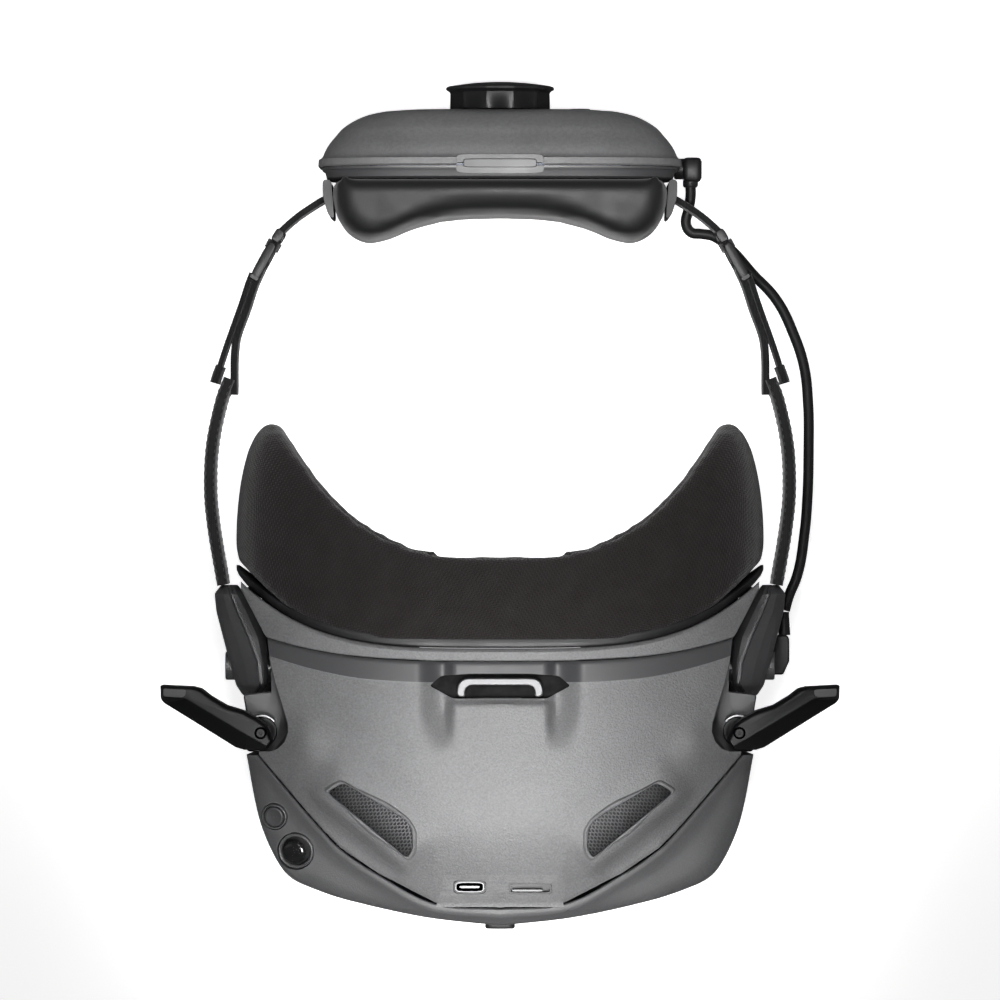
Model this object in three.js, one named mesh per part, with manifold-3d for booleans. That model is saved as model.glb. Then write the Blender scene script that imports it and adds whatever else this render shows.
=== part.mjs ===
// Box-type FPV goggles with a battery headband.
// Millimetres. +Z is up, the wearer looks along -Y, +X is the wearer's left.
// The visor and the battery pack both stand on the plane z = 0.
import * as THREE from 'three';
import { mergeVertices } from 'three/addons/utils/BufferGeometryUtils.js';
import Module from 'manifold-3d';

const wasm = await Module();
wasm.setup();

// ---- Driving dimensions ----------------------------------------------------

const wall = 2.2;             // moulded wall of the housings
const gap = 0.35;             // clearance between neighbouring pieces
const left = 1;               // sign of x on the wearer's left
const right = -1;             // sign of x on the wearer's right
const sides = [[left, 'left'], [right, 'right']];

const frontY = -130.3;        // front face of the visor
const seamFrontY = -124.6;    // front end of the top shell, on the centre line
const trimY = -48.9;          // rear end of the top shell, on the centre line
const frameY = -44.7;         // face frame on the centre line
const frameRise = 23.2;       // how far its sides wrap back from there
const frameHalf = 82.5;       // half width of the face frame
const topZ = 97;              // crown of the top shell
const splitZ = 22;            // joint line between the bottom shell and the rest
const pocketZ = 69.7;         // floor of the antenna pockets
const shellHalf = 74.1;       // half width of the top shell

const noseRise = 32;          // how far the face opening climbs over the nose
const noseSpread = 20;
const eyeZ = 51;              // height of the lens centres
const eyeX = 32;              // half of the distance between the lenses
const lensRadius = 23;

const pivotY = -52;           // headband hinge
const pivotZ = 50;
const antennaX = 73.4;        // antenna hinge
const antennaY = -70.9;

const packZ = 31;             // height of the battery pack's centre line
const packHalf = 57;          // half width of the battery pack
const packHalfHeight = 31;
const packRearY = 122.4;
const packRimY = 104.4;       // widest station of the battery shell
const knobRadius = 17.2;
const knobEndY = 131.5;

const roofDrop = 3.6;         // from the top surface down to the mid shell's roof
const portY = -118.4;         // middle of the port panel
const portX = 9.3;            // the sockets stand this far each side of the centre line
const hookY = -56.7;          // middle of the strap hook

// ---- Finishes --------------------------------------------------------------

function finish(color, roughness, metalness = 0) {
  return new THREE.MeshStandardMaterial({ color, roughness, metalness });
}

const finishes = {
  texturedShell: finish(0x77787a, 0.62),
  darkShell: finish(0x4b4c4e, 0.5),
  satinTrim: finish(0x6c6d6f, 0.4),
  blackPlastic: finish(0x1c1c1e, 0.45),
  glossBlack: finish(0x0b0b0c, 0.12),
  foam: finish(0x2b2626, 0.95),
  fabric: finish(0x29292b, 0.9),
  webbing: finish(0x1b1b1d, 0.85),
  rubber: finish(0x151516, 0.7),
  aluminium: finish(0xc9cbcd, 0.3, 1),
  steelMesh: finish(0x9a9b9c, 0.4, 1),
  glass: finish(0xbfc8cc, 0.05),
  board: finish(0x1d4a35, 0.6),
  display: finish(0x101418, 0.1),
  cell: finish(0x2a3f6b, 0.5),
};

// ---- Geometry helpers ------------------------------------------------------

const vec = (x, y, z) => new THREE.Vector3(x, y, z);
const mix = THREE.MathUtils.lerp;
const smooth = THREE.MathUtils.smoothstep;

// Reads a list of stations, each [input, value, value ...], at one input between them.
function stationsAt(stations, input) {
  const last = stations.length - 1;
  let i = 0;
  while (i < last - 1 && input > stations[i + 1][0]) i += 1;
  const [from, to] = [stations[i], stations[i + 1]];
  const t = THREE.MathUtils.clamp((input - from[0]) / (to[0] - from[0]), 0, 1);
  return from.slice(1).map((value, k) => mix(value, to[k + 1], t));
}

// The closed outline of a rounded box: a superellipse of the given half sizes.
function roundedBox(halfWidth, halfHeight, power, count) {
  return Array.from({ length: count }, (_, i) => {
    const angle = (2 * Math.PI * (i + 0.5)) / count;
    const [c, s] = [Math.cos(angle), Math.sin(angle)];
    return [
      halfWidth * Math.sign(c) * Math.abs(c) ** (2 / power),
      halfHeight * Math.sign(s) * Math.abs(s) ** (2 / power),
    ];
  });
}

// Removes the triangles that collapse when shared vertices merge.
function tidyGeometry(geometry) {
  const bare = new THREE.BufferGeometry();
  bare.setAttribute('position', geometry.getAttribute('position').clone());
  if (geometry.index) bare.setIndex(geometry.index.clone());
  const merged = mergeVertices(bare, 1e-4);
  const kept = [];
  for (let i = 0; i < merged.index.count; i += 3) {
    const [a, b, c] = [0, 1, 2].map((k) => merged.index.getX(i + k));
    if (a !== b && b !== c && a !== c) kept.push(a, b, c);
  }
  merged.setIndex(kept);
  return merged;
}

function solidOf(geometry) {
  const tidy = tidyGeometry(geometry);
  return new wasm.Manifold(new wasm.Mesh({
    numProp: 3,
    vertProperties: Float32Array.from(tidy.getAttribute('position').array),
    triVerts: Uint32Array.from(tidy.index.array),
  }));
}

function geometryOf(solid) {
  const mesh = solid.getMesh();
  const geometry = new THREE.BufferGeometry();
  geometry.setAttribute('position', new THREE.BufferAttribute(mesh.vertProperties, 3));
  geometry.setIndex(new THREE.BufferAttribute(mesh.triVerts, 1));
  geometry.computeVertexNormals();
  return geometry;
}

function cut(geometry, ...cutters) {
  const solid = cutters.reduce((rest, cutter) => rest.subtract(solidOf(cutter)), solidOf(geometry));
  return geometryOf(solid);
}

function common(geometry, other) {
  return geometryOf(solidOf(geometry).intersect(solidOf(other)));
}

function join(geometry, ...others) {
  const solid = others.reduce((sum, other) => sum.add(solidOf(other)), solidOf(geometry));
  return geometryOf(solid);
}

// Turns a closed mesh the right way out.
function facingOut(positions, index) {
  const point = (i) => vec(...positions.slice(3 * i, 3 * i + 3));
  let volume = 0;
  for (let i = 0; i < index.length; i += 3) {
    const [a, b, c] = [point(index[i]), point(index[i + 1]), point(index[i + 2])];
    volume += a.dot(b.cross(c));
  }
  if (volume < 0) index.reverse();
  const geometry = new THREE.BufferGeometry();
  geometry.setAttribute('position', new THREE.Float32BufferAttribute(positions, 3));
  geometry.setIndex(index);
  return geometry;
}

// A solid through closed rings of points. The ends are closed by a fan, or by a strip
// across the wall where a ring goes out along one face and back along the other.
function loft(rings, { closed = false, ends = 'fan' } = {}) {
  const size = rings[0].length;
  const positions = rings.flat().flatMap((p) => [p.x, p.y, p.z]);
  const index = [];
  const spans = closed ? rings.length : rings.length - 1;
  for (let i = 0; i < spans; i += 1) {
    const here = i * size;
    const next = ((i + 1) % rings.length) * size;
    for (let j = 0; j < size; j += 1) {
      const k = (j + 1) % size;
      index.push(here + j, next + j, next + k, here + j, next + k, here + k);
    }
  }
  const closeEnd = (start, ring, turned) => {
    const add = (a, b, c) => index.push(...(turned ? [a, c, b] : [a, b, c]));
    if (ends === 'strip') {
      for (let j = 0; j < size / 2 - 1; j += 1) {
        const far = size - 1 - j;
        add(start + j, start + j + 1, start + far);
        add(start + j + 1, start + far - 1, start + far);
      }
      return;
    }
    const centre = positions.length / 3;
    const middle = ring.reduce((sum, p) => sum.add(p), vec(0, 0, 0)).divideScalar(size);
    positions.push(middle.x, middle.y, middle.z);
    for (let j = 0; j < size; j += 1) add(start + j, start + ((j + 1) % size), centre);
  };
  if (!closed) {
    closeEnd(0, rings[0], false);
    closeEnd((rings.length - 1) * size, rings[rings.length - 1], true);
  }
  return facingOut(positions, index);
}

// An upright prism over a plan outline.
function prism(outline, lowZ, highZ) {
  const shape = new THREE.Shape(outline.map(([x, y]) => new THREE.Vector2(x, y)));
  const geometry = new THREE.ExtrudeGeometry(shape, { depth: highZ - lowZ, bevelEnabled: false });
  return geometry.translate(0, 0, lowZ);
}

function block(lowX, highX, lowY, highY, lowZ, highZ) {
  const geometry = new THREE.BoxGeometry(highX - lowX, highY - lowY, highZ - lowZ);
  return geometry.translate((lowX + highX) / 2, (lowY + highY) / 2, (lowZ + highZ) / 2);
}

// A turned piece. The profile is a list of [radius, distance along the axis].
function turned(profile, axis, centre, segments = 28) {
  const points = profile.map(([radius, along]) => new THREE.Vector2(radius, along));
  const geometry = new THREE.LatheGeometry(points, segments);
  const turn = new THREE.Quaternion().setFromUnitVectors(vec(0, 1, 0), axis.clone().normalize());
  return geometry.applyQuaternion(turn).translate(centre.x, centre.y, centre.z);
}

function rod(radius, low, high, axis, centre, segments = 24) {
  return turned([[0, low], [radius, low], [radius, high], [0, high]], axis, centre, segments);
}

// A flat band on edge along a route: thickness across it, height up.
function ribbon(route, thickness, height, steps) {
  const curve = new THREE.CatmullRomCurve3(route.map((p) => vec(...p)), false, 'centripetal');
  const rings = [];
  for (let i = 0; i <= steps; i += 1) {
    const centre = curve.getPointAt(i / steps);
    const along = curve.getTangentAt(i / steps);
    const across = vec(along.y, -along.x, 0).normalize().multiplyScalar(thickness / 2);
    const up = vec(0, 0, height / 2);
    rings.push([
      centre.clone().add(across).add(up),
      centre.clone().sub(across).add(up),
      centre.clone().sub(across).sub(up),
      centre.clone().add(across).sub(up),
    ]);
  }
  return loft(rings);
}

const goggles = new THREE.Group();

function piece(name, geometry, material) {
  const mesh = new THREE.Mesh(geometryOf(solidOf(geometry)), material);
  mesh.name = name;
  goggles.add(mesh);
}

// ---- Controls: places and sizes ---------------------------------------------

const fanCentre = vec(22, -84, 85.9);
const facetTilt = THREE.MathUtils.degToRad(18);
const facetHeading = THREE.MathUtils.degToRad(221);
const facetAxis = vec(
  Math.cos(facetHeading) * Math.sin(facetTilt),
  Math.sin(facetHeading) * Math.sin(facetTilt),
  Math.cos(facetTilt),
);
const backButton = { centre: vec(-69.4, -96.8, 81.6), radius: 3, bezel: 3.9 };
const joystick = { centre: vec(-62.7, -107.3, 81.4), radius: 3.4, well: 4.6, bezel: 5.5 };
const powerButton = { centre: vec(25, 0, packZ), radius: 3.6 };

// ---- The visor's surfaces --------------------------------------------------

// Plan curve of the face frame: flat over the brow, then wrapping back at the temples.
const frameCurve = (x) => frameY + frameRise * (Math.abs(x) / frameHalf) ** 3.7;

// Plan curve of the top shell's rear edge.
const trimCurve = (x) => trimY + 7 * (Math.abs(x) / 71.3) ** 3.3;

// Plan curve of the pad's edge against the face.
const faceCurve = (x) => -17.6 + 42 * (Math.abs(x) / 69.8) ** 2.9;

// Stations round the front, from the side to the centre line:
// [t, seam x, seam y, outline x, outline y], all on the wearer's left.
const frontStations = [
  [0, 74.1, -77.9, 78.1, -77.9],
  [0.2, 63.1, -90.9, 74.1, -97.7],
  [0.28, 58.8, -95.9, 70, -108],
  [0.36, 54.6, -100.6, 65, -115.2],
  [0.45, 49, -106.3, 57, -119.2],
  [0.6, 37.5, -114.1, 45, -123],
  [0.8, 19.8, -123.1, 22.6, -127.8],
  [1, 0, -124.6, 0, -130.3],
];
const seamStations = frontStations.map(([, x, y]) => [x, y]).reverse();

const seamCurve = (x) => stationsAt(seamStations, Math.abs(x))[0];
const seamZ = (x) => 87 - 4 * (Math.abs(x) / shellHalf) ** 2;
const crownZ = (x) => topZ - 9 * (Math.abs(x) / 72) ** 2.4;

// Height of the top surface: a crown that rolls down to the front seam, with a raised spine.
function topSurface(x, y) {
  const fromSeam = y - seamCurve(x);
  const roll = Math.min(40, 0.6 * (trimCurve(x) - seamCurve(x)));
  const fall = (crownZ(x) - seamZ(x)) * (1 - Math.min(1, fromSeam / roll)) ** 2;
  const spine = 2 * (1 - smooth(Math.abs(x), 14, 17.5)) * (1 - smooth(y, -62, -59));
  return crownZ(x) - fall + spine;
}

// The mid shell's roof runs just under the top shell.
const roofZ = (x, y) => topSurface(x, Math.min(y, trimCurve(x))) - roofDrop;

// Half width of the side wall, and of the antenna pocket above it, from front to rear.
const sideStations = [
  [0, 77.5, 70],
  [0.16, 74.5, 64.6],
  [0.36, 70.6, 67.2],
  [0.8, 70.8, 70.4],
  [1, 78.3, 78.1],
];
const pocketEdge = [[71.3, -41], [69.1, -53.7], [65.4, -65.8], [65, -69.5], [66.7, -72.9], [70.2, -76.6]];

// ---- Visor housings --------------------------------------------------------

// A sheet that follows the top surface, lowered by an offset.
function topSheet(offset, thickness) {
  const across = 28;
  const along = 13;
  const rings = [];
  for (let i = 0; i <= across; i += 1) {
    const x = mix(-shellHalf, shellHalf, i / across);
    const column = [];
    for (let j = 0; j <= along; j += 1) {
      const y = mix(trimCurve(x), seamCurve(x), j / along);
      column.push(vec(x, y, topSurface(x, y) + offset));
    }
    rings.push([...column, ...column.map((p) => vec(p.x, p.y, p.z - thickness)).reverse()]);
  }
  return loft(rings, { ends: 'strip' });
}

function topShell() {
  const cutters = [block(-14, 14, -60, -53, 80, 110), block(-17.9, 17.9, -123, -113.9, 80, 110)];
  for (const [side] of sides) {
    const pocket = [...pocketEdge, [90, -76.6], [90, -38], [71.5, -38]].map(([x, y]) => [side * x, y]);
    cutters.push(prism(pocket, 60, 110), prism(ventOutline(side, 0), 80, 110));
  }
  return cut(topSheet(0, 2.4), ...cutters);
}

// Slanted vent: a parallelogram with one clipped corner, grown by a margin.
function ventOutline(side, margin) {
  const corners = [[52.9, -88.9], [47.9, -85.9], [29.4, -96.6], [27, -99.8], [26.6, -106], [28.5, -109]];
  const middle = [40, -97];
  return corners.map(([x, y]) => {
    const reach = Math.hypot(x - middle[0], y - middle[1]);
    const grow = 1 + margin / reach;
    return [side * (middle[0] + grow * (x - middle[0])), middle[1] + grow * (y - middle[1])];
  });
}

// The belt round the front: a facet beside the seam, a rounded shoulder and the tall front wall.
function frontRing(t, side) {
  const [seamX, seamY, outX, outY] = stationsAt(frontStations, t);
  const outward = vec(outX - seamX, outY - seamY, 0).normalize();
  const seam = vec(side * seamX, seamY, seamZ(seamX));
  const edge = vec(side * outX, outY, seam.z - 4.5 + 0.5 * t);
  outward.x *= side;
  const at = (from, out, z) => from.clone().addScaledVector(outward, out).setZ(z);
  const outer = [
    at(seam, 0.4, seam.z),
    at(seam, 2.4, seam.z - 0.8),
    at(edge, -1.6, edge.z + 0.6),
    at(edge, 0, edge.z - 1.4),
    at(edge, 0, 62),
    at(edge, -1.2, 40),
    at(edge, -4, splitZ + gap),
  ];
  const inner = [
    at(seam, 0.4, seam.z - wall),
    at(seam, 1.8, seam.z - 0.8 - wall),
    at(edge, -1.6 - wall, edge.z + 0.6 - wall),
    at(edge, -wall, edge.z - 1.4 - wall),
    at(edge, -wall, 62),
    at(edge, -1.2 - wall, 40),
    at(edge, -4 - wall, splitZ + gap),
  ];
  return [...outer, ...inner.reverse()];
}

function frontCover() {
  const steps = 20;
  const rings = [];
  for (let i = 0; i <= steps; i += 1) rings.push(frontRing(i / steps, left));
  for (let i = steps - 1; i >= 0; i -= 1) rings.push(frontRing(i / steps, right));
  return cut(
    loft(rings, { ends: 'strip' }),
    rod(backButton.bezel + gap, -8, 8, facetAxis, backButton.centre),
    rod(joystick.bezel + gap, -8, 8, facetAxis, joystick.centre),
    block(-5.2, 5.2, -140, -120, 74, 80),
  );
}

// Side walls and roof of the eye box, open below and towards the front.
function midShell() {
  const steps = 12;
  const roof = 12;
  const face = (inset, s, startY) => {
    const [side, pocket] = stationsAt(sideStations, s);
    const points = [[side, splitZ + gap], [side, pocketZ - (inset ? wall : 0)]];
    const wide = pocket - inset;
    points[0][0] -= inset;
    points[1][0] -= inset;
    points.push([wide, pocketZ - (inset ? wall : 0)]);
    for (let k = 0; k < roof; k += 1) {
      const x = wide * (1 - (2 * k) / (roof - 1));
      points.push([x, roofZ(x, mix(startY, frameCurve(x), s)) - inset]);
    }
    points.push([-wide, points[2][1]], [-points[1][0], points[1][1]], [-points[0][0], points[0][1]]);
    return points.map(([x, z]) => vec(x, mix(startY, frameCurve(x) - 0.9, s), z));
  };
  const rings = [];
  for (let i = 0; i <= steps; i += 1) {
    rings.push([...face(0, i / steps, -77), ...face(wall, i / steps, -77).reverse()]);
  }
  return loft(rings, { ends: 'strip' });
}

// Plan outline of the bottom shell at a given inset, closed round the rear.
function bottomOutline(inset, z) {
  const ring = [];
  const add = (t, side) => {
    const [seamX, seamY, outX, outY] = stationsAt(frontStations, t);
    const inward = vec(seamX - outX, seamY - outY, 0).normalize().multiplyScalar(inset);
    ring.push(vec(side * (outX + inward.x), outY + inward.y, z));
  };
  const steps = 14;
  for (let i = 0; i <= steps; i += 1) add(i / steps, left);
  for (let i = steps - 1; i >= 0; i -= 1) add(i / steps, right);
  for (let k = 0; k <= 16; k += 1) {
    const x = mix(-1, 1, k / 16) * (79 - inset);
    ring.push(vec(x, frameCurve(x) - 0.5 - Math.max(0, inset - 5) * 0.4, z));
  }
  return ring;
}

const noseGap = (grow) => {
  const arch = [[-22, 8], [-15, 24], [-8, 33], [0, 36], [8, 33], [15, 24], [22, 8]];
  const grown = arch.map(([x, z]) => new THREE.Vector2(x * (1 + grow / 22), z + grow));
  const foot = 26 + grow;
  const shape = new THREE.Shape([new THREE.Vector2(-foot, -12), ...grown, new THREE.Vector2(foot, -12)]);
  return (lowY, highY) => new THREE.ExtrudeGeometry(shape, { depth: highY - lowY, bevelEnabled: false })
    .rotateX(Math.PI / 2)
    .translate(0, highY, 0);
};

function bottomShell() {
  const outer = [[13, 0], [8.5, 1.6], [5.4, 7], [4, splitZ]];
  const inner = [[11, 2.6], [7.6, 8], [6.2, splitZ + 1]];
  return cut(
    loft(outer.map(([inset, z]) => bottomOutline(inset, z))),
    loft(inner.map(([inset, z]) => bottomOutline(inset + wall * 0.2, z))),
    noseGap(3)(-62, 10),
  );
}

function noseBridge() {
  return cut(noseGap(2.6)(-61.6, -47), noseGap(0.6)(-60, -40), block(-40, 40, -70, 0, -20, 0.8));
}

// Ring of points in the face plane at a given half size, laid on a plan curve.
function faceRing(halfWidth, halfHeight, curve, offset, count) {
  return roundedBox(halfWidth, halfHeight, 3.2, count).map(([x, z]) => {
    const overNose = noseRise * Math.exp(-((x / noseSpread) ** 2)) * (1 - smooth(z, -30, 0));
    return vec(x, curve(x) + offset, eyeZ + z + overNose);
  });
}

// Four or more face rings, one after another round the section, closed both ways.
function faceLoop(sections) {
  const count = sections[0].length;
  const rings = [];
  for (let i = 0; i < count; i += 1) rings.push(sections.map((section) => section[i]));
  return loft(rings, { closed: true });
}

function faceFrame() {
  const count = 36;
  return faceLoop([
    faceRing(79.5, 46, frameCurve, 0, count),
    faceRing(82, 47, frameCurve, 2.4, count),
    faceRing(60, 31, frameCurve, 2.4, count),
    faceRing(60, 31, frameCurve, 0, count),
  ]);
}

function facePad() {
  const count = 36;
  const back = (half) => (x) => faceCurve(Math.min(69.8, (Math.abs(x) * 69.8) / half));
  return faceLoop([
    faceRing(82, 47, frameCurve, 3.4, count),
    faceRing(81, 46.8, (x) => mix(frameCurve(x), back(81)(x), 0.4), 3, count),
    faceRing(76.5, 45.5, back(76.5), -5, count),
    faceRing(72.5, 43, back(73), 0, count),
    faceRing(67, 38, back(69.8), -1, count),
    faceRing(64, 34, (x) => mix(frameCurve(x), back(69.8)(x), 0.5), 1, count),
    faceRing(60, 31, frameCurve, 3.4, count),
  ]);
}

function frameTrim() {
  const steps = 22;
  const rings = [];
  for (let i = 0; i <= steps; i += 1) {
    const x = mix(-69, 69, i / steps);
    const z = crownZ(x);
    const rear = Math.min(frameCurve(x) - gap, trimCurve(x) + 9);
    const front = Math.min(trimCurve(x) + gap, rear - 1.2);
    rings.push([vec(x, front, z), vec(x, rear, z), vec(x, rear, z - 2.6), vec(x, front, z - 2.6)]);
  }
  return loft(rings);
}

// ---- Inside the visor ------------------------------------------------------

function lensPanel() {
  const panel = block(-60, 60, -64.4, -62.4, 23.5, 81);
  return cut(panel, ...[left, right].map(
    (side) => rod(lensRadius + gap, -4, 4, vec(0, 1, 0), vec(side * eyeX, -63.4, eyeZ + 1), 36),
  ));
}

function lens(side) {
  const profile = [
    [0, 3.6], [9, 3], [17, 1.4], [lensRadius, 0], [lensRadius, -2.5], [14, -4.6], [0, -5.6],
  ];
  return turned(profile.reverse(), vec(0, 1, 0), vec(side * eyeX, -62.6, eyeZ + 1), 36);
}

// Light-tight funnel from the lens panel to the display.
function opticsHood() {
  const funnel = (inset, frontEnd, rearEnd) => loft([
    roundedBox(57 - inset, 27 - inset, 6, 24).map(([x, z]) => vec(x, rearEnd, eyeZ + 1 + z)),
    roundedBox(55 - inset, 29 - inset, 6, 24).map(([x, z]) => vec(x, frontEnd, eyeZ + 1 + z)),
  ]);
  return cut(funnel(0, -104, -68.5), funnel(1.6, -105, -67.5));
}

function fanHousing() {
  const { x, y, z } = fanCentre;
  return cut(
    block(x - 14.5, x + 14.5, y - 13.5, y + 13.5, z - 2.2, z + 2.2),
    rod(11.6, -1.4, 4, vec(0, 0, 1), fanCentre, 28),
    block(x + 8, x + 20, y - 7, y + 7, z - 0.8, z + 1),
  );
}

function fanRotor() {
  const blades = Array.from({ length: 7 }, (_, i) => block(2, 10.8, -0.5, 0.5, -0.9, 1.4)
    .rotateZ((2 * Math.PI * i) / 7)
    .translate(...fanCentre.toArray()));
  return join(rod(4, -1, 1.7, vec(0, 0, 1), fanCentre, 16), ...blades);
}

function heatSpreader() {
  const pitch = 3.2;
  const fins = Array.from({ length: 8 }, (_, i) => block(-34, -32.8, -96, -76, 84.6, 88)
    .translate(pitch * i, 0, 0));
  return join(block(-35, -9, -97, -75, 83.6, 85), ...fins);
}

// ---- Controls and ports ----------------------------------------------------

function bezel(control, well, depth) {
  return cut(
    rod(control.bezel, -depth, 0.4, facetAxis, control.centre, 24),
    rod(well, -depth + 1, 2, facetAxis, control.centre, 24),
    rod(control.radius * 0.55, -depth - 1, 2, facetAxis, control.centre, 12),
  );
}

function backButtonCap() {
  const { centre, radius } = backButton;
  const edge = radius - 0.1;
  const profile = [[0, -1.9], [edge, -1.9], [edge, 0.3], [edge - 0.5, 0.8], [0, 0.95]];
  return turned(profile, facetAxis, centre, 28);
}

function joystickCap() {
  const { radius } = joystick;
  const up = vec(0, 1, 0);
  const profile = [[0, 0.2], [2.2, 0.2], [radius, 1.3], [radius, 2.4], [2.4, 3.1], [0, 2.6]];
  const notches = Array.from({ length: 10 }, (_, i) => {
    const angle = (2 * Math.PI * i) / 10;
    return rod(0.35, 0.6, 4, up, vec(Math.cos(angle) * radius, 0, Math.sin(angle) * radius), 6);
  });
  const shaped = cut(turned(profile, up, vec(0, 0, 0), 30), ...notches);
  const turn = new THREE.Quaternion().setFromUnitVectors(up, facetAxis);
  return shaped.applyQuaternion(turn).translate(...joystick.centre.toArray());
}

function portPlate() {
  const slope = (topSurface(0, portY + 4) - topSurface(0, portY - 4)) / 8;
  const z = topSurface(0, portY) - 1.6;
  const plate = new THREE.BoxGeometry(35, 8.4, 1.6);
  const usb = new THREE.BoxGeometry(10.2, 4.8, 6).translate(-portX, 0, 0);
  const card = new THREE.BoxGeometry(14, 4, 6).translate(portX, 0.2, 0);
  return cut(plate, usb, card).rotateX(Math.atan(slope)).translate(0, portY, z);
}

function socket(x, halfWidth, halfHeight, hollow, depth) {
  const z = topSurface(0, portY) - 1.4;
  const tube = (w, h, low, high) => loft([low, high].map(
    (along) => roundedBox(w, h, 5, 20).map(([u, v]) => vec(x + u, portY + v, z + along)),
  ));
  return cut(
    tube(halfWidth, halfHeight, -depth, 0),
    tube(halfWidth - hollow, halfHeight - hollow, -depth + 1, 2),
  );
}

function ventGrille(side) {
  return common(topSheet(-0.9, 1), prism(ventOutline(side, -0.5), 80, 110));
}

function strapHook() {
  const loop = (halfWidth, halfDepth, low, high) => loft([low, high].map(
    (z) => roundedBox(halfWidth, halfDepth, 6, 24).map(([x, y]) => vec(x, hookY + y, z)),
  ));
  return cut(loop(12.6, 2.8, 94.6, 98.2), loop(10.4, 0.9, 90, 100));
}

// ---- Antennas --------------------------------------------------------------

// Plan outline of an unfolded paddle: round the knuckle, out along one edge and back.
const paddleOutline = [
  [69.9, -73.6], [71.9, -68.4], [74.6, -66.4], [78.7, -64.2], [84, -62.6],
  [89, -59.6], [91.8, -57.4], [94.2, -56.8], [104.2, -56.3], [104.2, -60.5],
  [103.2, -61.8], [81.2, -75.4], [78.6, -76.2], [72.2, -76.2],
];
const paddleLowZ = 72;
const paddleHighZ = 89;

function antenna(side) {
  const middle = [84, -66.4];
  const outline = (shrink, z) => paddleOutline.map(([x, y]) => {
    const reach = Math.hypot(x - middle[0], y - middle[1]);
    const grow = 1 - shrink / reach;
    return vec(side * (middle[0] + grow * (x - middle[0])), middle[1] + grow * (y - middle[1]), z);
  });
  const paddle = loft([
    outline(0.9, paddleLowZ),
    outline(0, paddleLowZ + 0.9),
    outline(0, paddleHighZ - 1.2),
    outline(1, paddleHighZ),
  ]);
  return cut(paddle, rod(1.9, -30, 30, vec(0, 0, 1), vec(side * antennaX, antennaY, 80), 20));
}

// A disc on the pocket floor with the hinge pin standing on it.
function antennaHinge(side) {
  const profile = [
    [0, pocketZ + gap], [4.6, pocketZ + gap], [4.6, paddleLowZ - 0.5], [1.5, paddleLowZ - 0.5],
    [1.5, paddleHighZ + 0.3], [0, paddleHighZ + 0.3],
  ];
  return turned(profile, vec(0, 0, 1), vec(side * antennaX, antennaY, 0), 28);
}

// ---- Headband --------------------------------------------------------------

// Stations along an arm: [y, outer x, crease x, inner x, low z, high z].
const armStations = [
  [-59.8, 80.5, 76, 73.8, 42, 58],
  [-57, 82, 73.4, 72, 39.5, 61],
  [-50, 84, 74.4, 72, 38, 62],
  [-42, 86.1, 77.4, 72.2, 38.5, 61.5],
  [-34, 88.2, 81, 75.9, 40, 60],
  [-28.5, 88.8, 83.2, 79.8, 41, 59],
  [-26.2, 87, 83.6, 81.4, 43, 57],
];
const bandZ = (y) => mix(pivotZ, packZ, THREE.MathUtils.clamp((y + 28) / 118, 0, 1));
const bandRoute = [[86, -25.8], [89.1, -7.8], [90.2, 4], [89.6, 18], [86.8, 31.6], [84.3, 38.4]];
const webbingRoute = [[86.9, 39.6], [83.4, 50], [79.8, 61], [77.5, 68.2]];
const strapRoute = [[68.4, 84.6], [63, 89.4], [56.4, 93.8]];
const onSide = (side, route) => route.map(([x, y]) => [side * x, y, bandZ(y)]);

function arm(side) {
  const ring = ([y, outer, crease, inner, low, high]) => [
    [inner, low + 3], [crease, low], [outer, low + 5],
    [outer, high - 6], [crease, high], [inner, high - 2.5],
  ].map(([x, z]) => vec(side * x, y, z));
  return cut(
    loft(armStations.map(ring)),
    rod(4.4, 60, 79, vec(side, 0, 0), vec(0, pivotY, pivotZ), 28),
  );
}

function armPivot(side) {
  const profile = [[0, 71.15], [4, 71.15], [4, 78.4], [0, 78.4]];
  return turned(profile, vec(side, 0, 0), vec(0, pivotY, pivotZ), 28);
}

// A flat block across the strap, with a window each side of its bar.
function buckle(side, rear, front, thickness, height) {
  const along = vec(front[0] - rear[0], front[1] - rear[1], 0);
  const length = along.length();
  const frame = new THREE.BoxGeometry(length, thickness, height);
  const window = length * 0.22;
  const windows = [-1, 1].map((end) => new THREE.BoxGeometry(window, 20, height - 5)
    .translate(end * length * 0.22, 0, 0));
  const shaped = cut(frame, ...windows);
  const centre = [(rear[0] + front[0]) / 2, (rear[1] + front[1]) / 2];
  return shaped
    .rotateZ(Math.atan2(along.y, side * along.x))
    .translate(side * centre[0], centre[1], bandZ(centre[1]));
}

// The battery shell's half width and half height along y.
const packStations = [
  [100.6, 55.9, 30.2],
  [packRimY - 1.5, 56.6, 30.8],
  [packRimY, packHalf, packHalfHeight],
  [110.9, 54.3, 29],
  [117.1, 46.2, 24.5],
  [121.1, 38.4, 20],
  [packRearY, 30.4, 17],
];
const packRing = (halfWidth, halfHeight, y) => roundedBox(halfWidth, halfHeight, 4, 32)
  .map(([x, z]) => vec(x, y, packZ + z));

function batteryShell() {
  const outer = packStations.slice(2).map(([y, w, h]) => packRing(w, h, y));
  const inner = packStations.slice(2).map(([y, w, h]) => packRing(w - wall, h - wall, y - wall));
  return cut(
    loft(outer),
    loft(inner),
    rod(powerButton.radius + gap, 100, 140, vec(0, 1, 0), powerButton.centre, 24),
    rod(4, 100, 140, vec(0, 1, 0), vec(0, 0, packZ), 24),
  );
}

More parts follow.
